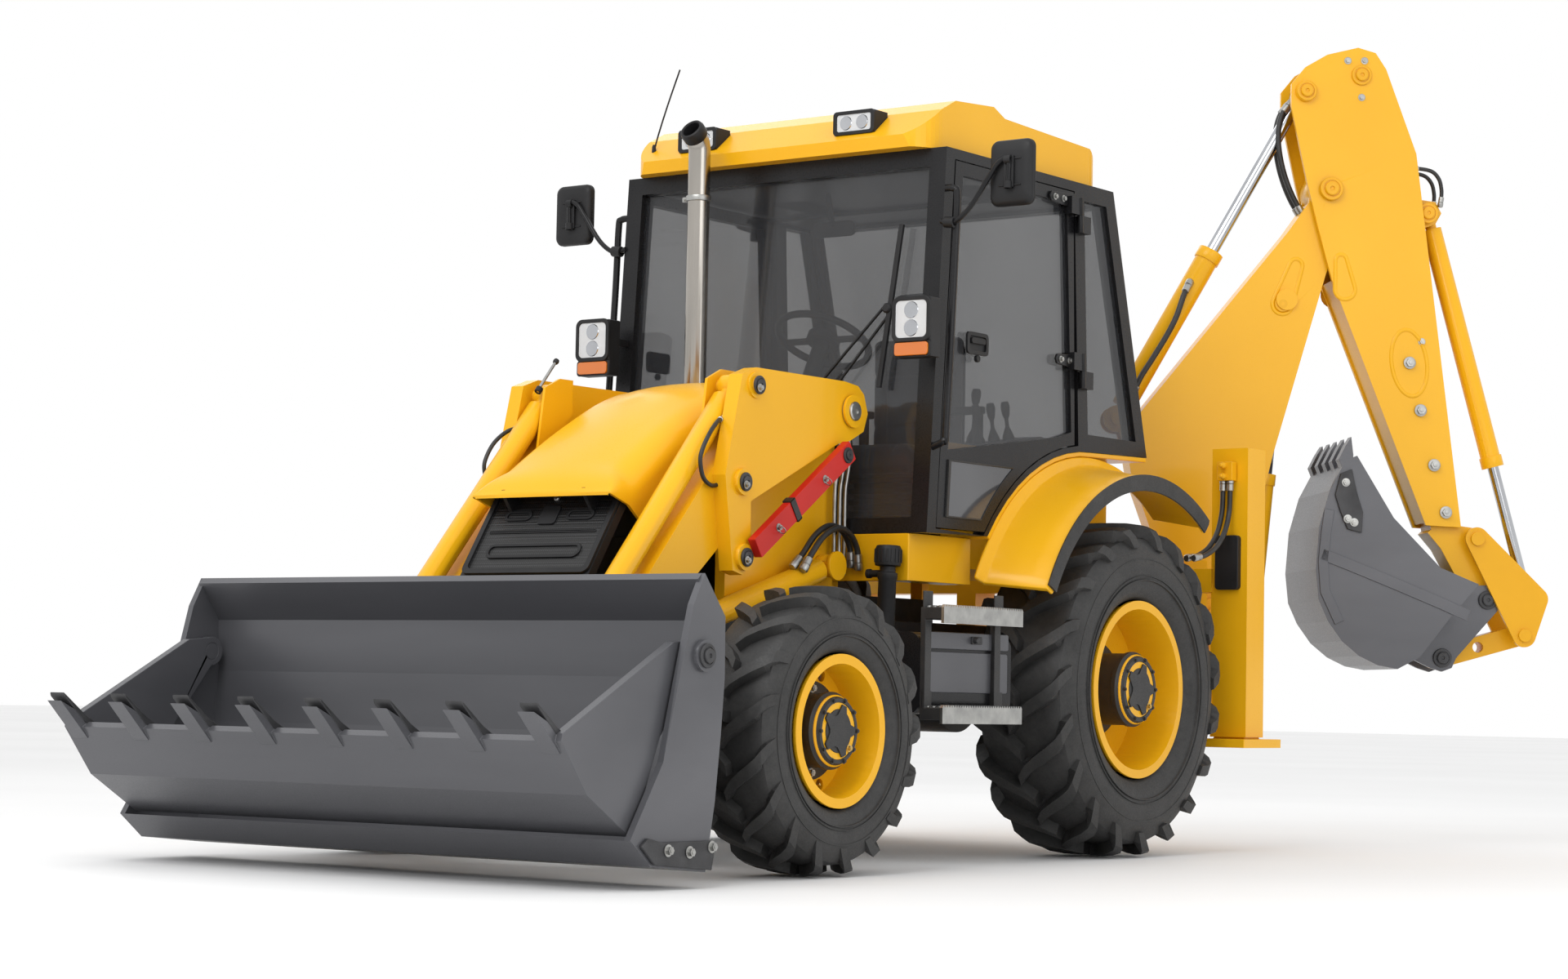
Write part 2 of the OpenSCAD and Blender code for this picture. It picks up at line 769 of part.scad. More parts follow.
module front_axle() {
  color(black)
    union() {
      block([front_x - beam_x, -beam_y, front_tyre_r - beam_z],
        [front_x + beam_x, beam_y, front_tyre_r + beam_z]);
      translate([front_x - trunnion_x, 0, front_tyre_r])
        rotate([0, 90, 0])
          cylinder(r = trunnion_r, h = 2 * trunnion_x);
      both() {
        block([front_x - yoke_x, yoke_y, front_tyre_r - ear_high],
          [front_x + yoke_x, beam_y, front_tyre_r + ear_high]);
        for (s = [-1, 1])
          translate([front_x, 0, front_tyre_r + s * (ear_low + ear_high) / 2]) {
            translate([-ear_x, yoke_y, -(ear_high - ear_low) / 2])
              cube([2 * ear_x, kingpin_y - yoke_y, ear_high - ear_low]);
            translate([0, kingpin_y, -(ear_high - ear_low) / 2])
              cylinder(r = ear_x, h = ear_high - ear_low);
            translate([0, kingpin_y, -stub_z / 2 - s * stub_z / 2])
              cylinder(r = pin_r, h = stub_z);
          }
      }
    }
}

module knuckle(side) {
  color(black)
    difference() {
      union() {
        translate([front_x - knuckle_x, side * (kingpin_y + (knuckle_out - knuckle_in) / 2),
          front_tyre_r - knuckle_z])
          translate([0, -(knuckle_in + knuckle_out) / 2, 0])
            cube([2 * knuckle_x, knuckle_in + knuckle_out, 2 * knuckle_z]);
        translate([front_x, side * kingpin_y, front_tyre_r])
          rotate([-90 * side, 0, 0])
            cylinder(r = front_spindle_r, h = front_wheel_y + front_bore_out - kingpin_y);
      }
      for (s = [-1, 1])
        translate([front_x, side * kingpin_y, front_tyre_r + s * (knuckle_z - stub_z / 2)])
          cylinder(r = pin_r + fit, h = stub_z + gap * 4, center = true);
    }
}

module knuckle_left() knuckle(1);
module knuckle_right() knuckle(-1);

module rear_axle() {
  color(black)
    union() {
      pin([rear_x, rear_tyre_r], tube_r, -tube_y, tube_y);
      pin([rear_x, rear_tyre_r], diff_r, -diff_y, diff_y);
      pin([rear_x, rear_tyre_r], rear_spindle_r, -rear_wheel_y - rear_bore_out,
        rear_wheel_y + rear_bore_out);
    }
}

module loader_towers() {
  color(yellow)
    difference() {
      both() {
        slab(pts(tower_shares, lift_pivot, tower_len), tower_y - tower_t, tower_y);
        pin(lift_pivot, lift_pin_r, tower_y - tower_t, arm_out_y + gap + lift_cap_t);
        pin(lift_pivot, lift_cap_r, arm_out_y + gap + join, arm_out_y + gap + lift_cap_t);
        pin(ram_base, ram_boss_r, tower_y - tower_t, ram_y - ram_eye_half - gap);
        pin(ram_base, ram_pin_r, tower_y - tower_t, ram_y + ram_eye_half + gap);
        pin(ram_base, ram_boss_r - gap, ram_y + ram_eye_half + gap,
          ram_y + ram_eye_half + gap + head_t);
      }
      both()
        block([tail_x, 0, rail_low_z], [nose_x, rail_y + fit, rail_top_z + fit]);
    }
}

module chassis_frame() {
  color(black)
    difference() {
      union() {
        both() {
          block([tail_x, rail_y - rail_t, rail_low_z], [nose_x - nose_t, rail_y, rail_top_z]);
        }
        for (x = cross_x)
          block([x - cross_t, -rail_y + rail_t / 2, rail_low_z],
            [x, rail_y - rail_t / 2, rail_low_z + cross_t]);
        block([nose_x - nose_t, -nose_y, nose_low], [nose_x, nose_y, nose_top]);
        for (s = [-1, 1])
          block([front_x + s * hanger_x - hanger_t / 2, -hanger_y, hanger_low],
            [front_x + s * hanger_x + hanger_t / 2, hanger_y, rail_low_z + cross_t]);
        for (s = [-1, 1])
          block([front_x + s * hanger_x - hanger_t / 2, -rail_y + rail_t / 2, rail_low_z],
            [front_x + s * hanger_x + hanger_t / 2, rail_y - rail_t / 2, rail_low_z + cross_t]);
        for (s = [-1, 1])
          translate([0, 0, tow_z + s * tow_gap])
            block([nose_x - nose_t / 2, -tow_half, -tow_t / 2], [tow_x, tow_half, tow_t / 2]);
        for (s = [-1, 1])
          translate([tow_x, 0, tow_z + s * tow_gap - tow_t / 2])
            cylinder(r = tow_half, h = tow_t);
      }
      pin([rear_x, rear_tyre_r], rail_arch, -rail_y - gap, rail_y + gap);
      translate([front_x - trunnion_x - gap, 0, front_tyre_r])
        rotate([0, 90, 0])
          cylinder(r = trunnion_r + fit, h = 2 * (trunnion_x + gap));
      translate([tow_x, 0, tow_z - tow_gap - tow_t])
        cylinder(r = tow_r, h = 2 * (tow_gap + tow_t));
    }
}

module rear_frame() {
  color(black)
    difference() {
      union() {
        block([beam_back_x, -leg_in_y - tube_wall / 2, low_beam[0]],
          [tail_x, leg_in_y + tube_wall / 2, low_beam[1]]);
        block([beam_back_x, -leg_in_y - tube_wall / 2, high_beam[0]],
          [tail_x, leg_in_y + tube_wall / 2, high_beam[1]]);
        both() {
          block([leg_back_x, leg_in_y, tube_low_z], [leg_front_x, leg_out_y, leg_top_z]);
          block([beam_back_x, web_y - web_t, low_beam[0]], [tail_x, web_y + web_t, high_beam[1]]);
          slab([[tail_x - gap, low_beam[0] + join], [tie_x, low_beam[0] + join],
            [tie_x + tie_plate_r, tie_z - tie_plate_r / 2],
            [tie_x + tie_plate_r, tie_z + tie_plate_r / 2], [tie_x, low_beam[1] - join],
            [tail_x - gap, low_beam[1] - join]], tie_y - tie_plate_t / 2, tie_y + tie_plate_t / 2);
        }
      }
      both() {
        block([leg_back_x + tube_wall, leg_in_y + tube_wall, tube_low_z - gap],
          [leg_front_x - tube_wall, leg_out_y - tube_wall, leg_top_z - tube_wall]);
        pin([tie_x, tie_z], tie_eye_r, tie_y - tie_plate_t, tie_y + tie_plate_t);
      }
    }
}

module stabiliser_leg(side) {
  mid = side * (leg_in_y + leg_out_y) / 2;
  half = (leg_out_y - leg_in_y) / 2 - tube_wall - leg_gap;
  x0 = leg_back_x + tube_wall + leg_gap;
  x1 = leg_front_x - tube_wall - leg_gap;
  color(black)
    union() {
      block([x0, mid - half, foot_z + foot_t / 2], [x1, mid + half, leg_inside_z]);
      block([(x0 + x1) / 2 - foot_len / 2, mid - foot_w / 2, foot_z],
        [(x0 + x1) / 2 + foot_len / 2, mid + foot_w / 2, foot_z + foot_t]);
    }
}

module stabiliser_leg_left() stabiliser_leg(1);
module stabiliser_leg_right() stabiliser_leg(-1);

module engine() {
  color(grey)
    union() {
      block([engine_back, -engine_y, engine_low], [engine_front, engine_y, engine_top]);
      block([head_back, -head_y, engine_top - gap], [head_front, head_y, head_top]);
      block([gear_back, -gear_y, gear_low + cross_t], [engine_back + gap, gear_y, gear_top]);
      both()
        for (x = engine_foot_x)
          block([x, engine_y - gap, engine_foot_z],
            [x + engine_foot, rail_y - rail_t, engine_foot_z + engine_foot]);
    }
}

module grille() {
  color(black)
    union() {
      slab(pts(grille_shares, [nose_x, nose_top], bonnet_len), -grille_y, grille_y);
      both() {
        slab(pts(hinge_ear_shares, bonnet_hinge, bonnet_len), grille_ear_y,
          grille_ear_y + grille_ear_t);
        pin(bonnet_hinge, grille_hinge_r, grille_ear_y, grille_ear_y + grille_ear_t + 2 * hinge_half);
      }
    }
}

// Outline of the bonnet across the machine
module bonnet_section(inset) {
  hull() {
    translate([-bonnet_y + inset, bonnet_low_z])
      square([2 * (bonnet_y - inset), 1]);
    for (s = [-1, 1])
      translate([s * (bonnet_y - bonnet_round), bonnet_high_z - bonnet_round])
        circle(bonnet_round - inset);
  }
}

module bonnet() {
  color(yellow)
    difference() {
      union() {
        difference() {
          intersection() {
            slab(pts(bonnet_shares, bonnet_hinge, bonnet_len), -bonnet_y, bonnet_y);
            translate([-bonnet_len, 0, 0])
              rotate([90, 0, 90])
                linear_extrude(4 * bonnet_len)
                  bonnet_section(0);
          }
          slab(pts(bonnet_cavity_shares, bonnet_hinge, bonnet_len), -bonnet_y + bonnet_wall,
            bonnet_y - bonnet_wall);
        }
        both()
          pin(bonnet_hinge, lug_r, grille_ear_y + grille_ear_t + gap,
            grille_ear_y + grille_ear_t + 2 * hinge_half - gap);
      }
      block([-bonnet_len, -bonnet_y - gap, notch_z], [notch_x, notch_y, bonnet_high_z + gap]);
      pin(bonnet_hinge, grille_hinge_r + fit, -bonnet_y + bonnet_wall, bonnet_y - bonnet_wall);
      both()
        pin(bonnet_hinge, lug_r + 4 * gap, grille_ear_y - gap, grille_ear_y + grille_ear_t + gap);
    }
}

module exhaust_stack() {
  color(steel)
    translate([stack_x, stack_y, 0]) {
      translate([0, 0, stack_low])
        difference() {
          cylinder(r = stack_r, h = stack_top - stack_low);
          translate([0, 0, stack_r])
            cylinder(r = stack_r - stack_wall, h = stack_top - stack_low);
        }
      pin([0, stack_pipe_z], stack_pipe_r, stack_r - gap, -head_y - stack_y);
      translate([stack_bend, 0, stack_top])
        rotate([90, 0, 0])
          rotate([0, 0, 180 - stack_bend_angle])
            rotate_extrude(angle = stack_bend_angle)
              translate([stack_bend, 0])
                difference() {
                  circle(stack_r);
                  circle(stack_r - stack_wall);
                }
    }
}

function cab_side() = concat([[cab_front(cab_low_z), cab_low_z], [cab_front(cab_top_z), cab_top_z],
  [cab_rear(cab_top_z), cab_top_z], [cab_waist_x, cab_waist_z]],
  flip(arch(cab_arc_r, cab_arc_from, cab_arc_to)));

module cab_shell(t) {
  difference() {
    slab(cab_side(), -cab_y, cab_y);
    slab([[cab_front(cab_low_z) - t, cab_low_z - gap], [cab_front(cab_top_z) - t, cab_top_z - t],
      [cab_rear(cab_top_z) + t, cab_top_z - t], [cab_waist_x + t, cab_waist_z],
      [cab_waist_x + t, cab_low_z - gap]], -cab_y + t, cab_y - t);
  }
}

function door_low(z) = [cab_front(z) - door_post, z];
function door_outline() = concat([[cab_front(cab_low_z + door_low_lift) - door_post,
  cab_low_z + door_low_lift],
  [cab_front(cab_top_z - door_top_drop) - door_post, cab_top_z - door_top_drop],
  [door_back(cab_top_z - door_top_drop), cab_top_z - door_top_drop],
  [door_back(door_back_z), door_back_z]],
  flip(arch(fender_clear_r + door_low_lift, door_arc_from, door_arc_to)));
function door_window() = [[cab_front(door_panel_z) - door_post - door_frame, door_panel_z],
  [cab_front(cab_top_z) - door_post - door_frame, cab_top_z - door_top_drop - door_frame],
  [door_back(cab_top_z) + door_frame, cab_top_z - door_top_drop - door_frame],
  [door_back(window_low_z) + door_frame, window_low_z],
  [door_back(window_low_z) + 3 * door_frame, door_panel_z + 2 * door_frame]];

module cab_openings() {
  slab(door_outline(), -2 * cab_y, 2 * cab_y);
  slab([[door_back(window_low_z) - side_post, window_low_z],
    [door_back(cab_top_z - header_h) - side_post, cab_top_z - header_h],
    [cab_rear(cab_top_z - header_h) + side_post, cab_top_z - header_h],
    [cab_rear(window_low_z) + side_post, window_low_z]], -2 * cab_y, 2 * cab_y);
  block([-side_post - cab_front_lean, -cab_y + side_post, screen_low_z],
    [cab_front_x + side_post, cab_y - side_post, cab_top_z - header_h]);
  block([cab_waist_x - side_post, -cab_y + side_post, window_low_z],
    [cab_rear_x + 2 * side_post, cab_y - side_post, cab_top_z - header_h]);
}

module cab_frame() {
  color(black)
    union() {
      difference() {
        cab_shell(cab_wall);
        cab_openings();
      }
      both()
        for (z = hinge_zs)
          translate([door_back(z), door_axis_y, z])
            rotate([0, door_lean, 0])
              translate([0, 0, -hinge_h])
                cylinder(r = hinge_r, h = hinge_h - slide_gap);
      both()
        for (z = hinge_zs)
          block([door_back(z) - side_post, cab_y - gap, z - hinge_h],
            [door_back(z) - hinge_r / 2, door_axis_y + hinge_r / 2, z - slide_gap]);
    }
}

module cab_glass() {
  color(glass)
    union() {
      slab([[cab_front(screen_low_z) - cab_wall / 2, screen_low_z + join],
        [cab_front(cab_top_z - header_h) - cab_wall / 2, cab_top_z - header_h - join],
        [cab_front(cab_top_z - header_h) - cab_wall / 2 - glass_t, cab_top_z - header_h - join],
        [cab_front(screen_low_z) - cab_wall / 2 - glass_t, screen_low_z + join]], -cab_y + side_post,
        cab_y - side_post);
      slab([[cab_rear(window_low_z) + cab_wall / 2, window_low_z],
        [cab_rear(cab_top_z - header_h) + cab_wall / 2, cab_top_z - header_h],
        [cab_rear(cab_top_z - header_h) + cab_wall / 2 + glass_t, cab_top_z - header_h],
        [cab_rear(window_low_z) + cab_wall / 2 + glass_t, window_low_z]], -cab_y + side_post,
        cab_y - side_post);
      both()
        slab([[door_back(window_low_z) - side_post, window_low_z],
          [door_back(cab_top_z - header_h) - side_post, cab_top_z - header_h],
          [cab_rear(cab_top_z - header_h) + side_post, cab_top_z - header_h],
          [cab_rear(window_low_z) + side_post, window_low_z]], cab_y - cab_wall / 2,
          cab_y - cab_wall / 2 + glass_t);
    }
}

// A flat box with round corners in plan
module plan_box(x0, x1, half, r, z0, z1) {
  translate([0, 0, z0])
    linear_extrude(z1 - z0)
      hull()
        for (s = [-1, 1]) {
          translate([x0 + r, s * (half - r)])
            circle(r);
          translate([x1 - r, s * (half - r)])
            circle(r);
        }
}

module cab_roof() {
  color(yellow)
    difference() {
      intersection() {
        slab(pts(roof_shares, [roof_front_x, cab_top_z], roof_len), -roof_y, roof_y);
        plan_box(roof_back_x, roof_front_x + roof_reach, roof_y, roof_corner, cab_top_z,
          cab_top_z + 2 * roof_h);
      }
      both()
        roof_lamp(fit);
    }
}

module cab_base() {
  color(yellow)
    union() {
      block([cab_waist_x, -floor_y, floor_low], [cab_front_x, floor_y, floor_top]);
      block([cab_front_x - inner_wall_t, -skirt_y, skirt_low], [cab_front_x, skirt_y, cab_low_z]);
      both() {
        block([skirt_back, skirt_y - inner_wall_t, skirt_low], [cab_front_x, skirt_y, cab_low_z]);
        block([skirt_back, floor_y - inner_wall_t, skirt_low],
          [cab_front_x, skirt_y, skirt_low + inner_wall_t]);
        block([cab_waist_x, floor_y - inner_wall_t, floor_low],
          [skirt_back + inner_wall_t, floor_y, cab_waist_z - inner_wall_t]);
        slab(concat(arch(cab_arc_r, cab_arc_from, cab_arc_to), [[cab_waist_x, cab_waist_z]],
          [[cab_waist_x, cab_waist_z - inner_wall_t]],
          flip(arch(cab_arc_r - inner_wall_t, cab_arc_from, cab_arc_to))), floor_y - inner_wall_t,
          cab_y - join);
        block([cab_waist_x + gap, rail_y - rail_t, rail_top_z],
          [cab_waist_x + rail_t, rail_y, floor_low + join]);
        block([cab_front_x - rail_t, rail_y - rail_t, rail_top_z],
          [cab_front_x, tower_y - tower_t - join, floor_low + join]);
      }
    }
}

module fender() {
  translate([rear_x, 0, rear_tyre_r])
    rotate([90, 0, 0])
      rotate([0, 0, fender_start])
        rotate_extrude(angle = fender_sweep)
          polygon([[fender_r - fender_t, -cab_y],
            [cab_arc_r - inner_wall_t - arc_sag, -cab_y + fender_lip],
            [cab_arc_r - inner_wall_t - arc_sag, -cab_y], [fender_r, -cab_y - fender_lip],
            [fender_r - fender_drop, -fender_out], [fender_r - fender_drop - 2 * fender_t, -fender_out],
            [fender_r - fender_drop - 2 * fender_t, -fender_out + fender_lip],
            [fender_r - fender_drop - fender_t, -fender_out + fender_lip],
            [fender_r - fender_t, -cab_y - fender_lip]]);
}

module fenders() {
  color(yellow)
    both()
      fender();
}

module seat() {
  color(grey)
    union() {
      block([seat_x - seat_base / 2, -seat_base / 2, seat_z],
        [seat_x + seat_base / 2, seat_base / 2, seat_z + seat_h]);
      block([seat_x - seat_w / 2, -seat_w / 2, seat_z + seat_h - join],
        [seat_x + seat_w / 2, seat_w / 2, seat_z + seat_h + cushion_t]);
      block([seat_x - seat_w / 2, -seat_w / 2, seat_z + seat_h],
        [seat_x - seat_w / 2 + back_t, seat_w / 2, seat_z + seat_h + back_h]);
      block([seat_x - seat_w / 2, -head_w / 2, seat_z + seat_h + back_h - join],
        [seat_x - seat_w / 2 + back_t - gap, head_w / 2, seat_z + seat_h + back_h + head_h]);
    }
}

module steering_console() {
  color(black)
    union() {
      block([console_x, -console_w / 2, floor_top],
        [console_x + console_d, console_w / 2, floor_top + console_h]);
      translate([console_x + console_d / 2, 0, floor_top + console_h - column_r])
        rotate([0, -column_lean, 0]) {
          cylinder(r = column_r, h = column_len);
          translate([0, 0, column_len]) {
            rotate_extrude()
              translate([wheel_ring_r, 0])
                circle(wheel_tube_r, $fn = 12);
            block([-spoke_w / 2, -wheel_ring_r, -wheel_tube_r / 2],
              [spoke_w / 2, wheel_ring_r, wheel_tube_r / 2]);
            cylinder(r = 2 * column_r, h = column_r, center = true);
          }
        }
    }
}

module tanks() {
  color(black)
    both()
      union() {
        translate([tank_x[0], 0, 0])
          rotate([90, 0, 90])
            linear_extrude(tank_x[1] - tank_x[0])
              hull()
                for (y = [tank_y[0] + tank_round, tank_y[1] - tank_round])
                  for (z = [tank_z[0] + tank_round, tank_z[1] - tank_round])
                    translate([y, z])
                      circle(tank_round);
        block([tank_x[0] + tank_round, rail_y, tank_z[1] - 2 * tank_round],
          [tank_x[1] - tank_round, tank_y[0] + tank_round, tank_z[1] - hang_t]);
      }
}

module steps() {
  color(black)
    both()
      union() {
        for (z = step_zs)
          block([step_x[0], step_y[0], z], [step_x[1], step_y[1], z + step_t]);
        for (x = step_hang_x)
          block([x, tank_y[1], step_zs[0]], [x + hang_t, step_y[0] + step_hang_t, step_zs[1] + step_t]);
      }
}

module mirrors() {
  front = mirror_x + mirror_t / 2 - mirror_sink;
  root = cab_y - cab_wall;
  z = mirror_z + mirror_h / 4;
  color(black)
    both()
      union() {
        block([mirror_x - mirror_t / 2, mirror_y - mirror_w / 2, mirror_z - mirror_h / 2],
          [mirror_x + mirror_t / 2, mirror_y + mirror_w / 2, mirror_z + mirror_h / 2]);
        block([front, root, z], [front + 2 * arm_r, mirror_y + arm_r, z + 2 * arm_r]);
        block([cab_front(z) + fit, root, z], [front + 2 * arm_r, root + 2 * arm_r, z + 2 * arm_r]);
      }
}

// Body of a roof lamp, and the pocket that it sits in
module roof_lamp(grow) {
  block([lamp_x0 - grow, roof_lamp_y - lamp_w / 2 - grow, cab_top_z + lamp_lift - grow],
    [lamp_x0 + lamp_d + grow, roof_lamp_y + lamp_w / 2 + grow, cab_top_z + lamp_lift + lamp_h + grow]);
}

module head_lamps() {
  color(steel)
    union() {
      both() {
        block([lamp_x, lamp_y - lamp_size / 2, lamp_z - lamp_size / 2],
          [lamp_x + lamp_depth, lamp_y + lamp_size / 2, lamp_z + lamp_size / 2]);
        block([lamp_x, lamp_y - lamp_size / 2, lamp_z - lamp_size / 2 - signal_h],
          [lamp_x + lamp_depth - gap, lamp_y + lamp_size / 2, lamp_z - lamp_size / 2 + join]);
        block([cab_front(lamp_z - arm_r), cab_y - cab_wall, lamp_z - arm_r],
          [lamp_x + gap, cab_y - cab_wall / 2, lamp_z + arm_r]);
      }
      both()
        roof_lamp(0);
    }
}

module door(side) {
  color(black)
    scale([1, side, 1])
      union() {
        difference() {
          intersection() {
            slab([for (p = door_outline()) p], cab_y - door_t, cab_y);
            slab([[door_back(door_back_z) + gap, door_back_z - door_back_z / 2],
              [door_back(cab_top_z) + gap, cab_top_z - door_top_drop - gap],
              [cab_front(cab_top_z) - door_post - gap, cab_top_z - door_top_drop - gap],
              [cab_front(cab_low_z) - door_post - gap, cab_low_z + door_low_lift + gap],
              [door_back(door_back_z) + gap, cab_low_z + door_low_lift + gap]], 0, 2 * cab_y);
            translate([rear_x, 0, rear_tyre_r])
              rotate([-90, 0, 0])
                difference() {
                  translate([-fender_r, -2 * cab_top_z, 0])
                    cube([3 * fender_r, 4 * cab_top_z, 2 * cab_y]);
                  cylinder(r = fender_clear_r + door_low_lift + gap, h = 2 * cab_y, $fn = 180);
                }
          }
          slab(door_window(), 0, 2 * cab_y);
        }
        for (z = hinge_zs) {
          translate([door_back(z), door_axis_y, z])
            rotate([0, door_lean, 0])
              cylinder(r = hinge_r, h = hinge_h);
          block([door_back(z) + hinge_r / 2, cab_y - gap, z],
            [door_back(z) + side_post, door_axis_y + hinge_r / 2, z + hinge_h]);
        }
      }
}

module door_left() door(1);
module door_right() door(-1);

module door_glass(side) {
  color(glass)
    scale([1, side, 1])
      slab(door_window(), cab_y - door_t / 2 - glass_t / 2, cab_y - door_t / 2 + glass_t / 2);
}

module door_left_glass() door_glass(1);
module door_right_glass() door_glass(-1);

module loader_arms() {
  color(yellow)
    difference() {
      union() {
        both() {
          slab(pts(arm_plate_shares, lift_pivot, arm_len), arm_mid_y, arm_out_y);
          slab(pts(arm_box_shares, lift_pivot, arm_len), arm_in_y, arm_mid_y + join);
          slab(pts(tilt_ear_shares, lift_pivot, arm_len), arm_in_y - 2 * gap, arm_in_y + join);
          slab(pts(lift_ear_shares, lift_pivot, arm_len), arm_in_y, arm_in_y + ear_t);
          slab(pts(lift_ear_shares, lift_pivot, arm_len), arm_mid_y - ear_t, arm_mid_y);
          pin(tilt_base, ram_pin_r, arm_in_y - 2 * gap, arm_out_y + head_t);
          pin(tilt_base, head_r, arm_out_y - join, arm_out_y + head_t / 2);
          for (p = mid_pins)
            pin(p, head_r, arm_out_y - join, arm_out_y + head_t);
          pin(lift_pivot, lift_boss_r, arm_in_y, arm_out_y);
        }
        pin(cross_tube, cross_tube_r, -arm_in_y - join, arm_in_y + join);
      }
      pin(lift_pivot, lift_pin_r + fit, -2 * arm_out_y, 2 * arm_out_y);
      pin(bucket_pin, bucket_pin_r + fit, -2 * arm_out_y, 2 * arm_out_y);
      both() {
        pin(lift_end, ram_eye_r + 2 * gap, ram_y - ram_eye_half - gap, ram_y + ram_eye_half + gap);
        slab(pts(lift_slot_shares, lift_pivot, arm_len), ram_y - ram_eye_half - gap,
          ram_y + ram_eye_half + gap);
      }
    }
}

module safety_strut() {
  color(red)
    both()
      translate([0, arm_out_y + head_t, 0])
        translate([strut_a[0], 0, strut_a[1]])
          rotate([0, atan2(strut_a[1] - strut_b[1], strut_b[0] - strut_a[0]), 0])
            difference() {
              block([-strut_w / 2, 0, -strut_w / 2],
                [norm(strut_b - strut_a) + strut_w / 2, strut_t, strut_w / 2]);
              block([-strut_w, -strut_t, -strut_w / 2 + head_t],
                [norm(strut_b - strut_a), strut_t - head_t / 2, strut_w / 2 - head_t]);
            }
}

module at_rams() {
  both()
    translate([0, ram_y, 0])
      children();
}

module lift_barrels() {
  color(yellow)
    at_rams()
      ram_barrel(ram_base, lift_end, lift_barrel_len, lift_barrel_r, ram_eye_half, lift_rod_r,
        ram_pin_r);
}

module lift_rods() {
  color(steel)
    at_rams()
      ram_rod(ram_base, lift_end, lift_rod_in, lift_rod_r, ram_eye_half);
}

module tilt_barrels() {
  color(yellow)
    at_rams()
      ram_barrel(tilt_base, tilt_end, tilt_barrel_len, tilt_barrel_r, ram_eye_half, tilt_rod_r,
        ram_pin_r);
}

module tilt_rods() {
  color(steel)
    at_rams()
      ram_rod(tilt_base, tilt_end, tilt_rod_in, tilt_rod_r, ram_eye_half);
}

module loader_bucket() {
  color(grey)
    union() {
      slab(pts(blade_shares, bucket_pin, bucket_h), -bucket_y + end_t / 2, bucket_y - end_t / 2);
      both() {
        slab(pts(end_shares, bucket_pin, bucket_h), bucket_y - end_t, bucket_y);
        slab(pts(ear_shares, bucket_pin, bucket_h), arm_in_y - bucket_ear_gap - bucket_ear_t,
          arm_in_y - bucket_ear_gap);
        slab(pts(ear_shares, bucket_pin, bucket_h), arm_mid_y + bucket_ear_gap,
          arm_mid_y + bucket_ear_gap + bucket_ear_t);
        pin(bucket_pin, bucket_pin_r, arm_in_y - bucket_ear_gap - bucket_ear_t - head_t,
          arm_mid_y + bucket_ear_gap + bucket_ear_t + head_t);
        pin(tilt_end, head_r, arm_mid_y + bucket_ear_gap + bucket_ear_t - join,
          arm_mid_y + bucket_ear_gap + bucket_ear_t + head_t);
        pin(tilt_end, head_r, arm_in_y - bucket_ear_gap - bucket_ear_t - head_t,
          arm_in_y - bucket_ear_gap - bucket_ear_t + join);
        pin(clam_pin, clam_pin_r, bucket_y - end_t - clam_gap - wing_t, bucket_y + head_t);
        pin(clam_pin, clam_hub_r, bucket_y - join, bucket_y + head_t);
      }
    }
}

module clam_jaw() {
  half = bucket_y - end_t - clam_gap;
  color(grey)
    difference() {
      union() {
        slab(pts(jaw_shares, clam_pin, bucket_h), -half, half);
        both() {
          slab(pts(wing_shares, clam_pin, bucket_h), half - wing_t, half);
          pin(clam_pin, clam_hub_r, half - wing_t, half);
        }
        for (i = [0 : tooth_count - 1])
          translate([0, -half + tooth_edge + i * (2 * half - 2 * tooth_edge) / (tooth_count - 1), 0])
            slab(pts(tooth_shares, clam_pin, bucket_h), -tooth_w / 2, tooth_w / 2);
      }
      pin(clam_pin, clam_pin_r + fit, -2 * half, 2 * half);
    }
}

// Place the digging arm's own plane on the machine
module dig_frame() {
  translate([king_x, king_y, 0])
    rotate([0, 0, slew])
      children();
}

module carriage() {
  color(black)
    union() {
      block([carriage_back, king_y - carriage_half, low_beam[1] + slide_gap],
        [leg_back_x - slide_gap, king_y + carriage_half, carriage_high]);
      block([carriage_back, king_y - carriage_half, high_beam[1] + slide_gap],
        [hook_front, king_y + carriage_half, high_beam[1] + slide_gap + hook_t]);
      for (i = [0, 1]) {
        block([king_x, king_y - king_neck[i], king_ears[i][0]],
          [carriage_back + join, king_y + king_neck[i], king_ears[i][1]]);
        translate([king_x, king_y, king_ears[i][0]])
          cylinder(r = king_neck[i], h = king_ears[i][1] - king_ears[i][0]);
      }
      translate([king_x, king_y, king_ears[0][1] - join])
        cylinder(r = king_pin_r, h = king_stub);
      translate([king_x, king_y, king_ears[1][0] - king_stub])
        cylinder(r = king_pin_r, h = king_stub + join);
    }
}

module kingpost() {
  color(black)
    dig_frame()
      difference() {
        union() {
          translate([0, 0, king_low])
            cylinder(r = king_r, h = king_high - king_low);
          both()
            slab(pts(king_shares, [0, boom_pin[1]], king_len), king_ear_in, king_ear_in + king_ear_t);
          pin(boom_pin, boom_pin_r, -king_ear_in - king_ear_t - head_t,
            king_ear_in + king_ear_t + head_t);
          pin(boom_ram_base, ram_pin_r, -king_ear_in - king_ear_t - head_t,
            king_ear_in + king_ear_t + head_t);
        }
        for (z = [king_low - gap, king_high - king_stub - gap])
          translate([0, 0, z])
            cylinder(r = king_pin_r + fit, h = king_stub + 2 * gap);
      }
}

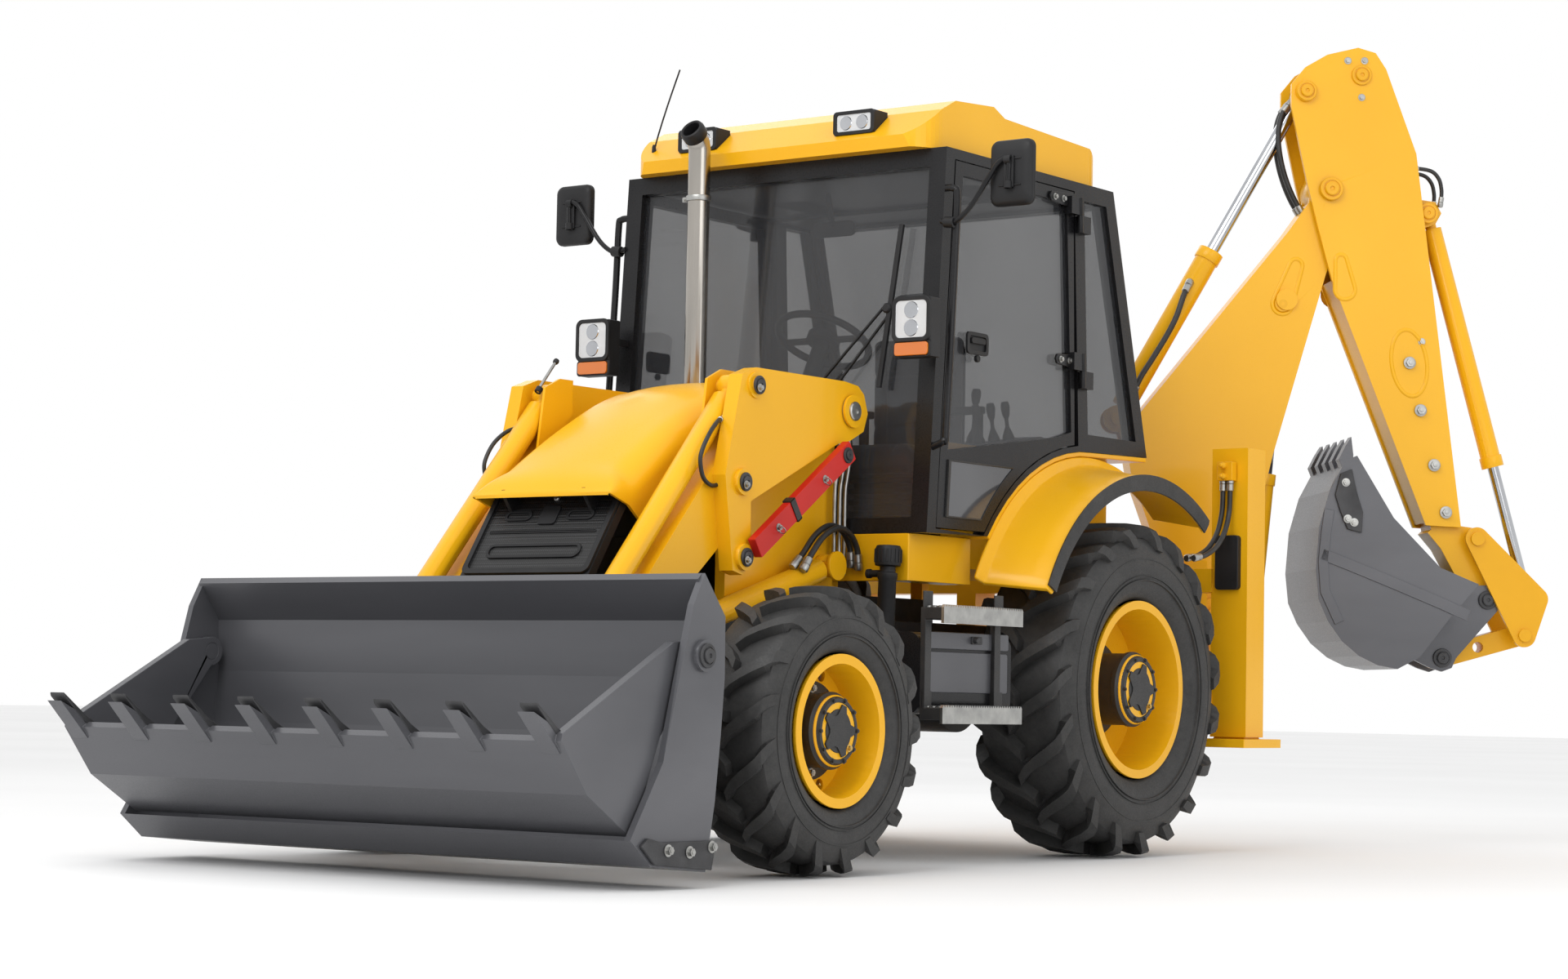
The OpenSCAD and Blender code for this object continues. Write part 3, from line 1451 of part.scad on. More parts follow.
module boom() {
  ear = ram_eye_half + gap;
  color(yellow)
    dig_frame()
      difference() {
        union() {
          both() {
            slab(pts(boom_shares, boom_pin, boom_len), boom_t - boom_plate_t, boom_t);
            pin(boom_ram_end, head_r, boom_t - join, boom_t + head_t);
            pin(boom_pin, boom_root_r, boom_t - boom_plate_t, boom_t);
            pin(dipper_ram_base, ram_boss_r, ear, ear + boom_ear_t);
            slab(pts(boom_ear_shares, boom_pin, boom_len), ear, ear + boom_ear_t);
          }
          slab(pts(boom_cover_shares, boom_pin, boom_len), -boom_t + join, boom_t - join);
          pin(boom_pin, boom_pin_r + boom_tube_t, -boom_t, boom_t);
          pin(boom_tip, boom_tip_r, -boom_t, boom_t);
          pin(dipper_ram_base, ram_pin_r, -boom_t, boom_t);
        }
        pin(boom_pin, boom_pin_r + fit, -2 * boom_t, 2 * boom_t);
        pin(boom_tip, boom_pin_r + fit, -2 * boom_t, 2 * boom_t);
      }
}

module boom_ram_barrel() {
  color(yellow)
    dig_frame()
      ram_barrel(boom_ram_base, boom_ram_end, boom_ram_len, boom_ram_r, ram_eye_half, boom_rod_r,
        ram_pin_r);
}

module boom_ram_rod() {
  color(steel)
    dig_frame()
      ram_rod(boom_ram_base, boom_ram_end, boom_rod_in, boom_rod_r, ram_eye_half);
}

module dipper_ram_barrel() {
  color(yellow)
    dig_frame()
      ram_barrel(dipper_ram_base, dipper_ram_end, dipper_ram_len, dipper_ram_r, ram_eye_half,
        dipper_rod_r, ram_pin_r);
}

module dipper_ram_rod() {
  color(steel)
    dig_frame()
      ram_rod(dipper_ram_base, dipper_ram_end, dipper_rod_in, dipper_rod_r, ram_eye_half);
}

module dipper() {
  inner = dipper_t - dipper_plate_t;
  color(yellow)
    dig_frame()
      union() {
        both() {
          slab(pts(dipper_shares, boom_tip, dipper_len), inner, dipper_t);
          slab(pts(dipper_back_shares, boom_tip, dipper_len), dipper_slot, inner + join);
          pin(dipper_ram_end, head_r, dipper_t - join, dipper_t + head_t);
        }
        slab(pts(dipper_front_shares, boom_tip, dipper_len), -inner - join, inner + join);
        slab(pts(dipper_top_shares, boom_tip, dipper_len), -inner - join, inner + join);
        pin(boom_tip, boom_pin_r, -dipper_t - head_t, dipper_t + head_t);
      }
}

function slide_at(z, e) = [slide_low[0] + slide_dir[0] / slide_dir[1] * (z - slide_low[1]) + e, z];

module dipper_slide() {
  color(yellow)
    dig_frame()
      difference() {
        union() {
          slab([slide_at(slide_top_z, -slide_half), slide_at(slide_top_z, slide_half),
            slide_at(slide_low[1] - slide_half, slide_half),
            slide_at(slide_low[1] - slide_half, -slide_half)], -slide_t, slide_t);
          slab(pts(head_shares, dig_pin, dig_size), -slide_t, slide_t);
          both()
            slab(pts(bracket_shares, bucket_ram_base, bracket_len), bracket_t - bracket_ear, bracket_t);
          pin(bucket_ram_base, ram_pin_r, -bracket_t, bracket_t);
        }
        pin(dig_pin, dig_pin_r + fit, -2 * slide_t, 2 * slide_t);
        pin(tip_pin, dig_pin_r + fit, -2 * slide_t, 2 * slide_t);
      }
}

module bucket_ram_barrel() {
  color(yellow)
    dig_frame()
      ram_barrel(bucket_ram_base, bucket_ram_end, bucket_ram_len, bucket_ram_r,
        bracket_t - bracket_ear - gap / 2, bucket_rod_r, ram_pin_r);
}

module bucket_ram_rod() {
  color(steel)
    dig_frame()
      ram_rod(bucket_ram_base, bucket_ram_end, bucket_rod_in, bucket_rod_r,
        bracket_t - bracket_ear - gap / 2);
}

module tipping_link() {
  color(yellow)
    dig_frame()
      union() {
        for (s = [-1, 1])
          translate([0, s * (tip_in + tip_t / 2) + tip_t / 2, 0])
            rotate([90, 0, 0])
              linear_extrude(tip_t)
                hull()
                  for (p = [tip_pin, bucket_ram_end, link_pin])
                    translate(p)
                      circle(tip_r);
        pin(tip_pin, dig_pin_r, -tip_in - tip_t - head_t, tip_in + tip_t + head_t);
        pin(link_pin, link_pin_r, -tip_in - tip_t - head_t, tip_in + tip_t + head_t);
      }
}

module bucket_link() {
  color(yellow)
    dig_frame()
      difference() {
        translate([0, link_t, 0])
          rotate([90, 0, 0])
            linear_extrude(2 * link_t)
              hull()
                for (p = [link_pin, link_end])
                  translate(p)
                    circle(link_r);
        pin(link_pin, link_pin_r + fit, -2 * link_t, 2 * link_t);
        pin(lift_eye, eye_r, -2 * link_t, 2 * link_t);
      }
}

module dig_bucket() {
  color(grey)
    dig_frame()
      union() {
        difference() {
          slab(pts(dig_side_shares, dig_pin, dig_size), -dig_t, dig_t);
          slab(pts(dig_hollow_shares, dig_pin, dig_size), -dig_t + dig_side_t, dig_t - dig_side_t);
          slab(pts(dig_notch_shares, dig_pin, dig_size), -dig_ear_in, dig_ear_in);
        }
        both()
          slab(pts(dig_ear_shares, dig_pin, dig_size), dig_ear_in, dig_ear_in + dig_ear_t);
        pin(dig_pin, dig_pin_r, -dig_ear_in - dig_ear_t, dig_ear_in + dig_ear_t);
        for (i = [0 : dig_teeth - 1])
          translate([0, -dig_t + dig_tooth_w / 2 + i * (2 * dig_t - dig_tooth_w) / (dig_teeth - 1), 0])
            slab(pts(dig_tooth_shares, dig_pin, dig_size), -dig_tooth_w / 2, dig_tooth_w / 2);
      }
}

chassis_frame();
loader_towers();
rear_frame();
engine();
front_axle();
rear_axle();
grille();
cab_frame();
cab_roof();
cab_glass();
cab_base();
fenders();
seat();
steering_console();
tanks();
steps();
exhaust_stack();
mirrors();
head_lamps();
bonnet();
knuckle_left();
knuckle_right();
tyre_front_left();
tyre_front_right();
tyre_rear_left();
tyre_rear_right();
wheel_front_left();
wheel_front_right();
wheel_rear_left();
wheel_rear_right();
loader_arms();
safety_strut();
lift_barrels();
lift_rods();
tilt_barrels();
tilt_rods();
loader_bucket();
clam_jaw();
door_left();
door_left_glass();
door_right();
door_right_glass();
carriage();
kingpost();
boom();
boom_ram_barrel();
boom_ram_rod();
dipper_ram_barrel();
dipper_ram_rod();
dipper();
dipper_slide();
bucket_ram_barrel();
bucket_ram_rod();
tipping_link();
bucket_link();
dig_bucket();
stabiliser_leg_left();
stabiliser_leg_right();
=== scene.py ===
import math

import bmesh
import bpy
from mathutils import Matrix, Vector


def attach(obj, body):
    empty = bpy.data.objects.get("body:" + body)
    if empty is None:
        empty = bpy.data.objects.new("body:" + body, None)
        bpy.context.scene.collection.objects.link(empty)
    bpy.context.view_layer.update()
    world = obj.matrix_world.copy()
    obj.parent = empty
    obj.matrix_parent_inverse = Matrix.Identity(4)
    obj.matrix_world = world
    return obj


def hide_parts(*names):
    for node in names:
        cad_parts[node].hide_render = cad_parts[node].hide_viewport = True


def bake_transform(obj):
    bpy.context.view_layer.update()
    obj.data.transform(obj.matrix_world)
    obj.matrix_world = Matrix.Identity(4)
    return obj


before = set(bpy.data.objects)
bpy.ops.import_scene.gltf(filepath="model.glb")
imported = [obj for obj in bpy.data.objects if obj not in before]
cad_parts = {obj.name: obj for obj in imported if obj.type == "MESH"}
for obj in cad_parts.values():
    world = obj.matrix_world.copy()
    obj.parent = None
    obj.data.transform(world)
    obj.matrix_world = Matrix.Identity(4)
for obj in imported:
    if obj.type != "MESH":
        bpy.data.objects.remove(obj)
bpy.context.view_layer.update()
scene = bpy.context.scene

# Wheel centres, tyre and rim sizes in metres; side +1 is the machine's left.
FRONT_WHEEL = {
    "x": 1.085, "y": 0.955, "r": 0.5, "w": 0.32, "rim": 0.265,
    "hub_r": 0.124, "hub_out": 0.128, "disc": -0.004, "lugs": 17, "depth": 0.036,
}
REAR_WHEEL = {
    "x": -1.085, "y": 0.83, "r": 0.67, "w": 0.44, "rim": 0.355,
    "hub_r": 0.14, "hub_out": 0.19, "disc": -0.024, "lugs": 19, "depth": 0.046,
}
REAR_AXLE = (REAR_WHEEL["x"], REAR_WHEEL["r"])
SIDES = ((-1, "right"), (1, "left"))
TURN = 2 * math.pi
# Slew axis of the digging arm, its direction from straight ahead, and half widths of its parts.
KING = Vector((-2.445, 0.45, 0.0))
SLEW = math.radians(130.0)
BOOM_HALF = 0.085
DIPPER_HALF = 0.118
DIG_HALF = 0.3


def dig(x, y, z):
    """A point of the digging arm's own plane, in the machine's frame."""
    return KING + Vector((
        x * math.cos(SLEW) - y * math.sin(SLEW),
        x * math.sin(SLEW) + y * math.cos(SLEW),
        z,
    ))


# Materials

def add_node(tree, kind, values=None, source=None, into="Vector"):
    """Shader node with its values set and one link into it."""
    node = tree.nodes.new("ShaderNode" + kind)
    for key, value in (values or {}).items():
        node.inputs[key].default_value = value
    if source is not None:
        tree.links.new(source, node.inputs[into])
    return node


def new_material(name, values):
    """Material with its node tree and object coordinates."""
    mat = bpy.data.materials.new(name)
    mat.use_nodes = True
    tree = mat.node_tree
    for key, value in values.items():
        tree.nodes["Principled BSDF"].inputs[key].default_value = value
    return mat, tree, add_node(tree, "TexCoord").outputs["Object"]


def drive(tree, key, source):
    tree.links.new(source, tree.nodes["Principled BSDF"].inputs[key])


def noise(tree, coords, scale, detail, stretch=None):
    if stretch:
        coords = add_node(tree, "Mapping", {"Scale": stretch}, coords).outputs["Vector"]
    return add_node(tree, "TexNoise", {"Scale": scale, "Detail": detail}, coords).outputs["Fac"]


def ramp(tree, source, low, high, start=0.3, end=0.7):
    node = add_node(tree, "ValToRGB", None, source, "Fac")
    first, last = node.color_ramp.elements
    first.position, last.position = start, end
    first.color, last.color = (*low, 1.0), (*high, 1.0)
    return node.outputs["Color"]


def spread(tree, source, low, high):
    values = {"From Min": 0.3, "From Max": 0.7, "To Min": low, "To Max": high}
    return add_node(tree, "MapRange", values, source, "Value").outputs["Result"]


def relief(tree, source, strength, distance):
    values = {"Strength": strength, "Distance": distance}
    bump = add_node(tree, "Bump", values, source, "Height")
    drive(tree, "Normal", bump.outputs["Normal"])


def finish_material(name, low, high, rough, metal=0.0, coat=0.0, broad=3.0, grain=220.0, bump=0.02,
        stretch=None, dust=None, spec=0.5):
    """Broad colour change, fine roughness change and fine bump; dust is a colour and its share."""
    values = {"Metallic": metal, "Specular IOR Level": spec, "Coat Weight": coat}
    mat, tree, coords = new_material(name, {**values, "Coat Roughness": 0.08})
    colour = ramp(tree, noise(tree, coords, broad, 4.0, stretch), low, high)
    fine = noise(tree, coords, grain, 3.0)
    if dust:
        mask = spread(tree, noise(tree, coords, broad * 7.0, 6.0), 0.0, dust[1])
        mix = tree.nodes.new("ShaderNodeMix")
        mix.data_type = "RGBA"
        mix.inputs["B"].default_value = (*dust[0], 1.0)
        tree.links.new(mask, mix.inputs["Factor"])
        tree.links.new(colour, mix.inputs["A"])
        colour = mix.outputs["Result"]
    drive(tree, "Base Color", colour)
    drive(tree, "Roughness", spread(tree, fine, *rough))
    relief(tree, fine, bump, 0.002)
    return mat


def lens_material(name, low, high, ribs, transmission):
    """Moulded lens: ribs as a bump under a clear coat."""
    values = {"Roughness": 0.12, "Transmission Weight": transmission, "Coat Weight": 0.6}
    mat, tree, coords = new_material(name, values)
    wave = add_node(tree, "TexWave", {"Scale": ribs}, coords)
    wave.bands_direction = "Y"
    drive(tree, "Base Color", ramp(tree, wave.outputs["Fac"], low, high, 0.2, 0.8))
    relief(tree, wave.outputs["Fac"], 0.35, 0.004)
    return mat


def glass_material(name, low, high, alpha):
    """Grey tinted pane with a faint streaked film."""
    mat, tree, coords = new_material(name, {"Specular IOR Level": 0.8})
    film = noise(tree, coords, 1.2, 3.0, (1.0, 1.0, 0.35))
    drive(tree, "Base Color", ramp(tree, film, low, high))
    drive(tree, "Roughness", spread(tree, film, 0.02, 0.07))
    drive(tree, "Alpha", spread(tree, film, alpha - 0.05, alpha + 0.05))
    return mat


def mesh_material(name, low, high, pitch):
    """Punched sheet: rows of round holes as colour and relief."""
    mat, tree, coords = new_material(name, {"Roughness": 0.4})
    values = {"Scale": 1.0 / pitch, "Randomness": 0.0}
    dots = add_node(tree, "TexVoronoi", values, coords).outputs["Distance"]
    drive(tree, "Base Color", ramp(tree, dots, low, high, 0.32, 0.4))
    relief(tree, dots, 0.6, 0.003)
    return mat


def weave_material(name, low, high, pitch):
    """Woven seat cloth: crossed threads, soft sheen."""
    mat, tree, coords = new_material(name, {"Roughness": 0.9, "Sheen Weight": 0.4})
    values = {"Scale": 1.0 / pitch, "Color1": (*low, 1.0), "Color2": (*high, 1.0)}
    weave = add_node(tree, "TexChecker", values, coords)
    drive(tree, "Base Color", weave.outputs["Color"])
    relief(tree, weave.outputs["Fac"], 0.4, 0.002)
    return mat


YELLOW = finish_material("yellow_paint", (0.8, 0.405, 0.005), (0.85, 0.44, 0.008), (0.26, 0.38),
    coat=0.1, broad=1.5, grain=260.0, spec=0.28)
YELLOW_DEEP = finish_material("yellow_paint_deep", (0.74, 0.365, 0.004), (0.8, 0.4, 0.007),
    (0.3, 0.42), coat=0.08, spec=0.28, broad=2.5, grain=300.0, bump=0.03)
BLACK = finish_material("black_paint", (0.007, 0.007, 0.008), (0.013, 0.013, 0.014), (0.24, 0.36),
    spec=0.25, broad=4.0, grain=320.0)
PLASTIC = finish_material("black_plastic", (0.009, 0.009, 0.01), (0.017, 0.017, 0.018),
    (0.42, 0.58), spec=0.3, broad=6.0, grain=900.0, bump=0.1)
CHASSIS = finish_material("chassis_black", (0.01, 0.01, 0.011), (0.02, 0.02, 0.02), (0.4, 0.6),
    grain=240.0, bump=0.05, dust=((0.09, 0.08, 0.07), 0.12))
GREY = finish_material("bucket_grey", (0.078, 0.079, 0.087), (0.115, 0.116, 0.126), (0.28, 0.42),
    metal=0.25, broad=1.2, grain=180.0, bump=0.04, stretch=(1.0, 0.3, 2.0))
IRON = finish_material("cast_iron", (0.03, 0.03, 0.032), (0.06, 0.06, 0.063), (0.4, 0.6),
    metal=0.3, broad=12.0, grain=420.0, bump=0.12)
CHROME = finish_material("chrome", (0.4, 0.41, 0.43), (0.52, 0.53, 0.55), (0.08, 0.16), metal=1.0,
    broad=5.0, grain=600.0, bump=0.01)
STACK = finish_material("stack_steel", (0.34, 0.32, 0.29), (0.46, 0.43, 0.39), (0.16, 0.26),
    metal=1.0, broad=7.0, grain=500.0, stretch=(1.0, 1.0, 0.2))
ZINC = finish_material("zinc", (0.32, 0.32, 0.31), (0.46, 0.46, 0.44), (0.28, 0.45), metal=1.0,
    broad=20.0, grain=500.0, bump=0.05)
BRASS = finish_material("brass", (0.5, 0.34, 0.1), (0.66, 0.46, 0.16), (0.25, 0.4), metal=1.0,
    broad=30.0, grain=500.0, bump=0.05)
RUBBER = finish_material("tyre_rubber", (0.012, 0.012, 0.012), (0.026, 0.026, 0.026), (0.5, 0.68),
    broad=6.0, grain=160.0, bump=0.12, dust=((0.07, 0.065, 0.06), 0.18))
HOSE = finish_material("hose_rubber", (0.01, 0.01, 0.01), (0.022, 0.022, 0.022), (0.36, 0.52),
    broad=20.0, grain=900.0, bump=0.15)
RED = finish_material("red_paint", (0.48, 0.012, 0.008), (0.58, 0.02, 0.012), (0.28, 0.42),
    coat=0.05, broad=4.0, grain=280.0, bump=0.03, spec=0.25)
TRIM = finish_material("cab_trim", (0.035, 0.035, 0.038), (0.06, 0.06, 0.064), (0.55, 0.75),
    broad=8.0, grain=700.0, bump=0.15)
MIRROR = finish_material("mirror_glass", (0.8, 0.82, 0.84), (0.88, 0.9, 0.91), (0.01, 0.03),
    metal=1.0, grain=50.0, bump=0.0)
LENS = lens_material("clear_lens", (0.62, 0.64, 0.66), (0.92, 0.93, 0.94), 90.0, 0.2)
AMBER = lens_material("amber_lens", (0.6, 0.12, 0.005), (0.85, 0.24, 0.012), 120.0, 0.1)
RED_LENS = lens_material("red_lens", (0.4, 0.01, 0.006), (0.6, 0.02, 0.01), 120.0, 0.1)
GLASS = glass_material("tinted_glass", (0.02, 0.021, 0.024), (0.055, 0.057, 0.062), 0.45)
DARK_PANE = glass_material("dark_pane", (0.03, 0.031, 0.035), (0.075, 0.077, 0.084), 0.94)
PUNCHED = mesh_material("punched_sheet", (0.022, 0.022, 0.024), (0.004, 0.004, 0.004), 0.009)
CLOTH = weave_material("seat_cloth", (0.03, 0.03, 0.034), (0.075, 0.075, 0.082), 0.004)

# Nodes that aren't yellow
NODE_MATERIALS = {node: mat for mat, names in (
    (CHASSIS, "chassis_frame front_axle rear_axle steps knuckle_left knuckle_right"),
    (PLASTIC, "grille steering_console mirrors head_lamps"),
    (BLACK, "cab_frame tanks door_left door_right"),
    (GLASS, "cab_glass door_left_glass door_right_glass"),
    (CHROME, "lift_rods tilt_rods boom_ram_rod dipper_ram_rod bucket_ram_rod"),
    (GREY, "loader_bucket clam_jaw dig_bucket"),
    (YELLOW_DEEP, "carriage kingpost tipping_link bucket_link"),
    (RUBBER, "tyre_front_left tyre_front_right tyre_rear_left tyre_rear_right"),
    (IRON, "engine"), (CLOTH, "seat"), (STACK, "exhaust_stack"), (RED, "safety_strut"),
) for node in names.split()}
EDGE_WIDTH = 0.004
SOFT_EDGES = {
    "cab_roof": 0.016, "fenders": 0.008, "cab_base": 0.01, "tanks": 0.01, "head_lamps": 0.012,
}


def soften(obj, width, angle):
    """Small rounding of the edges sharper than an angle."""
    mod = obj.modifiers.new("Bevel", "BEVEL")
    mod.width = width
    mod.segments = 2
    mod.limit_method = "ANGLE"
    mod.angle_limit = math.radians(angle)
    mod.harden_normals = True


for name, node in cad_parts.items():
    finish = NODE_MATERIALS.get(name, YELLOW)
    node.data.materials.clear()
    node.data.materials.append(finish)
    if finish in (GLASS, CHROME):
        continue
    node.modifiers.new("Weld", "WELD").merge_threshold = 0.0002
    soften(node, SOFT_EDGES.get(name, EDGE_WIDTH), 40.0)


# Mesh helpers

def place(bm, name, mat, body="machine", bevel=0.0, sharp=35.0):
    """Turn a bmesh into a piece that rides on a body."""
    bmesh.ops.recalc_face_normals(bm, faces=bm.faces)
    mesh = bpy.data.meshes.new(name)
    bm.to_mesh(mesh)
    bm.free()
    mesh.materials.append(mat)
    mesh.shade_smooth()
    mesh.set_sharp_from_angle(angle=math.radians(sharp))
    obj = bpy.data.objects.new(name, mesh)
    scene.collection.objects.link(obj)
    if bevel:
        soften(obj, bevel, sharp)
    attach(obj, body)
    return obj


def frame_at(origin, up, side=None):
    """Matrix with its Z along up."""
    z = Vector(up).normalized()
    guess = Vector(side) if side else (Vector((0, 0, 1)) if abs(z.z) < 0.9 else Vector((1, 0, 0)))
    x = guess.cross(z).normalized()
    y = z.cross(x)
    mat = Matrix((x, y, z)).transposed().to_4x4()
    return Matrix.Translation(Vector(origin)) @ mat


def flank_frame(x, y, z, s):
    """Frame on one side of the machine, facing outwards."""
    return frame_at((x, s * y, z), (0, s, 0), (0, 0, 1))


def face_frame(x, y, z, way=1):
    """Frame facing ahead, or back."""
    return frame_at((x, y, z), (way, 0, 0), (0, 0, 1))


def flank_plane(s, y, z=0):
    """Plane of x and z on one side, pushed outwards."""
    return Matrix(((1, 0, 0, 0), (0, 0, s, s * y), (0, 1, 0, z), (0, 0, 0, 1)))


def shift(m, x, y, z):
    return m @ Matrix.Translation((x, y, z))


def on_disc(m, radius, angle, height):
    return m @ Vector((radius * math.cos(angle), radius * math.sin(angle), height))


def mirrored(s, points):
    return [(x, s * y, z) for x, y, z in points]


def stitch(bm, rows, closed=True):
    """Faces between neighbouring rows of points."""
    for a, b in zip(rows, rows[1:]):
        for i in range(len(a) if closed else len(a) - 1):
            j = (i + 1) % len(a)
            bm.faces.new([a[i], a[j], b[j], b[i]])


def add_box(bm, lo, hi, matrix=None):
    corners = [Vector((x, y, z)) for x in (lo[0], hi[0]) for y in (lo[1], hi[1])
        for z in (lo[2], hi[2])]
    verts = [bm.verts.new(matrix @ c if matrix else c) for c in corners]
    for face in ((0, 1, 3, 2), (4, 6, 7, 5), (0, 4, 5, 1), (2, 3, 7, 6), (0, 2, 6, 4),
            (1, 5, 7, 3)):
        bm.faces.new([verts[i] for i in face])


def add_lathe(bm, profile, matrix, segments=32):
    """Profile of (radius, height) turned about the matrix's Z axis."""
    rings = []
    for r, h in profile:
        if r < 1e-6:
            rings.append([bm.verts.new(matrix @ Vector((0, 0, h)))])
            continue
        turn = [TURN * i / segments for i in range(segments)]
        rings.append([bm.verts.new(matrix @ Vector((r * math.cos(a), r * math.sin(a), h)))
            for a in turn])
    for a, b in zip(rings, rings[1:]):
        for i in range(segments):
            j = (i + 1) % segments
            quad = [a[i % len(a)], a[j % len(a)], b[j % len(b)], b[i % len(b)]]
            unique = list(dict.fromkeys(quad))
            if len(unique) > 2:
                bm.faces.new(unique)


def add_prism(bm, outline, depth, matrix):
    """2-D outline in the matrix's XY plane, pushed along its Z."""
    low = [bm.verts.new(matrix @ Vector((x, y, 0.0))) for x, y in outline]
    top = [bm.verts.new(matrix @ Vector((x, y, depth))) for x, y in outline]
    bm.faces.new(low[::-1])
    bm.faces.new(top)
    stitch(bm, [low, top])


def add_ring(bm, outer, inner, depth, matrix):
    """Frame between two outlines of the same number of points."""
    loops = [[bm.verts.new(matrix @ Vector((x, y, z))) for x, y in line] for line,
        z in ((outer, 0.0), (outer, depth), (inner, depth), (inner, 0.0))]
    stitch(bm, loops + loops[:1])


def rounded(width, height, radius, steps=6, centre=(0.0, 0.0)):
    """Rounded rectangle."""
    points = []
    for k, (sx, sy) in enumerate(((1, 1), (-1, 1), (-1, -1), (1, -1))):
        cx = centre[0] + sx * (width / 2 - radius)
        cy = centre[1] + sy * (height / 2 - radius)
        for i in range(steps + 1):
            a = math.pi / 2 * (k + i / steps)
            points.append((cx + radius * math.cos(a), cy + radius * math.sin(a)))
    return points


def polygon(radius, sides, turn=0.0):
    return [(radius * math.cos(turn + TURN * i / sides),
        radius * math.sin(turn + TURN * i / sides)) for i in range(sides)]


def add_bolt(bm, p, normal, size):
    """Washer, hex head and rounded end."""
    m = frame_at(p, normal)
    add_lathe(bm, [(0, 0), (size * 1.25, 0), (size * 1.25, size * 0.18), (size, size * 0.24),
        (0, size * 0.24)], m, 20)
    add_prism(bm, polygon(size * 0.86, 6), size * 0.78, shift(m, 0, 0, size * 0.2))
    add_lathe(bm, [(size * 0.45, size * 0.95), (size * 0.42, size * 1.12), (0, size * 1.16)], m,
        14)


def add_pin_head(bm, p, normal, r):
    """Pivot pin end: collar, chamfered cap and a grease hollow."""
    m = frame_at(p, normal)
    add_lathe(bm, [(r, 0), (r, r * 0.16), (r * 0.94, r * 0.22), (r * 0.74, r * 0.22),
        (r * 0.72, r * 0.16), (r * 0.62, r * 0.16), (r * 0.6, r * 0.34), (r * 0.52, r * 0.4),
        (r * 0.2, r * 0.4), (r * 0.16, r * 0.3), (0, r * 0.3)], m, 28)


def smooth_path(points, per=8):
    """Evenly flowing points through the given ones."""
    pts = [Vector(p) for p in points]
    ext = [pts[0] * 2 - pts[1]] + pts + [pts[-1] * 2 - pts[-2]]
    path = []
    for i in range(1, len(ext) - 2):
        a, b, c, d = ext[i - 1:i + 3]
        for k in range(per):
            t = k / per
            path.append(0.5 * (2 * b + (c - a) * t + (2 * a - 5 * b + 4 * c - d) * t * t
                + (3 * b - a - 3 * c + d) * t ** 3))
    path.append(pts[-1])
    return path


def tube(name, points, radius, mat, body, per=8):
    """Round pipe or hose along a smooth line."""
    curve = bpy.data.curves.new(name, "CURVE")
    curve.dimensions = "3D"
    curve.bevel_depth = radius
    curve.bevel_resolution = 3
    curve.use_fill_caps = True
    path = smooth_path(points, per)
    line = curve.splines.new("POLY")
    line.points.add(len(path) - 1)
    for point, p in zip(line.points, path):
        point.co = (*p, 1.0)
    line.use_smooth = True
    curve.materials.append(mat)
    obj = bpy.data.objects.new(name, curve)
    scene.collection.objects.link(obj)
    if body is None:
        graph = bpy.context.evaluated_depsgraph_get()
        mesh = bpy.data.meshes.new_from_object(obj.evaluated_get(graph))
        bpy.data.objects.remove(obj)
        obj = bpy.data.objects.new(name, mesh)
        scene.collection.objects.link(obj)
    else:
        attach(obj, body)
    length = sum((b - a).length for a, b in zip(path, path[1:]))
    return obj, length, path


def hose(name, points, radius, body, other=None):
    """Flexible hose with crimped end fittings.

    With a second body the hose is a fixed mesh on no body, with one end fitting on each body.
    """
    obj, length, path = tube(name, points, radius, HOSE, None if other else body)
    r = radius
    ferrule = [(0, -r), (r * 1.1, -r), (r * 1.45, -r * 0.5), (r * 1.45, r * 1.2),
        (r * 1.2, r * 1.4), (r * 1.35, r * 1.6), (r * 1.35, r * 4.0), (r * 1.1, r * 4.2),
        (0, r * 4.2)]
    bm = bmesh.new()
    add_lathe(bm, ferrule, frame_at(path[0], path[2] - path[0]), 16)
    if other:
        place(bm, name + "_fitting", ZINC, body)
        bm = bmesh.new()
    add_lathe(bm, ferrule, frame_at(path[-1], path[-3] - path[-1]), 16)
    place(bm, name + "_fittings", ZINC, other or body)
    if other:
        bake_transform(obj)
    return obj


# Camera, floor and light

# Camera fitted to the photo: place, turn in radians and focal length in mm
CAMERA_PLACE = (9.937, 7.354, 0.613)
CAMERA_TURN = (math.radians(36.38), math.radians(-3.77), 0.019)
CAMERA_LENS = 72.3
FLOOR_REACH, FLOOR_Z = 60.0, -0.002


def aim_camera():
    yaw, pitch, roll = CAMERA_TURN
    forward = -Vector((math.cos(yaw) * math.cos(pitch), math.sin(yaw) * math.cos(pitch),
        math.sin(pitch)))
    right = forward.cross(Vector((0, 0, 1))).normalized()
    up = right.cross(forward)
    turn = Matrix((right, up, -forward)).transposed() @ Matrix.Rotation(roll, 3, "Z")
    data = bpy.data.cameras.new("photo_camera")
    data.sensor_width = 36.0
    data.lens = CAMERA_LENS
    data.clip_end = 200.0
    obj = bpy.data.objects.new("photo_camera", data)
    obj.matrix_world = Matrix.Translation(CAMERA_PLACE) @ turn.to_4x4()
    scene.collection.objects.link(obj)
    scene.camera = obj


def light_area(name, location, target, size, power, colour=(1.0, 1.0, 1.0)):
    data = bpy.data.lights.new(name, "AREA")
    data.shape = "RECTANGLE"
    data.size, data.size_y = size
    data.energy = power
    data.color = colour
    obj = bpy.data.objects.new(name, data)
    direction = Vector(target) - Vector(location)
    obj.matrix_world = Matrix.Translation(location) @ direction.to_track_quat("-Z",
        "Y").to_matrix().to_4x4()
    scene.collection.objects.link(obj)


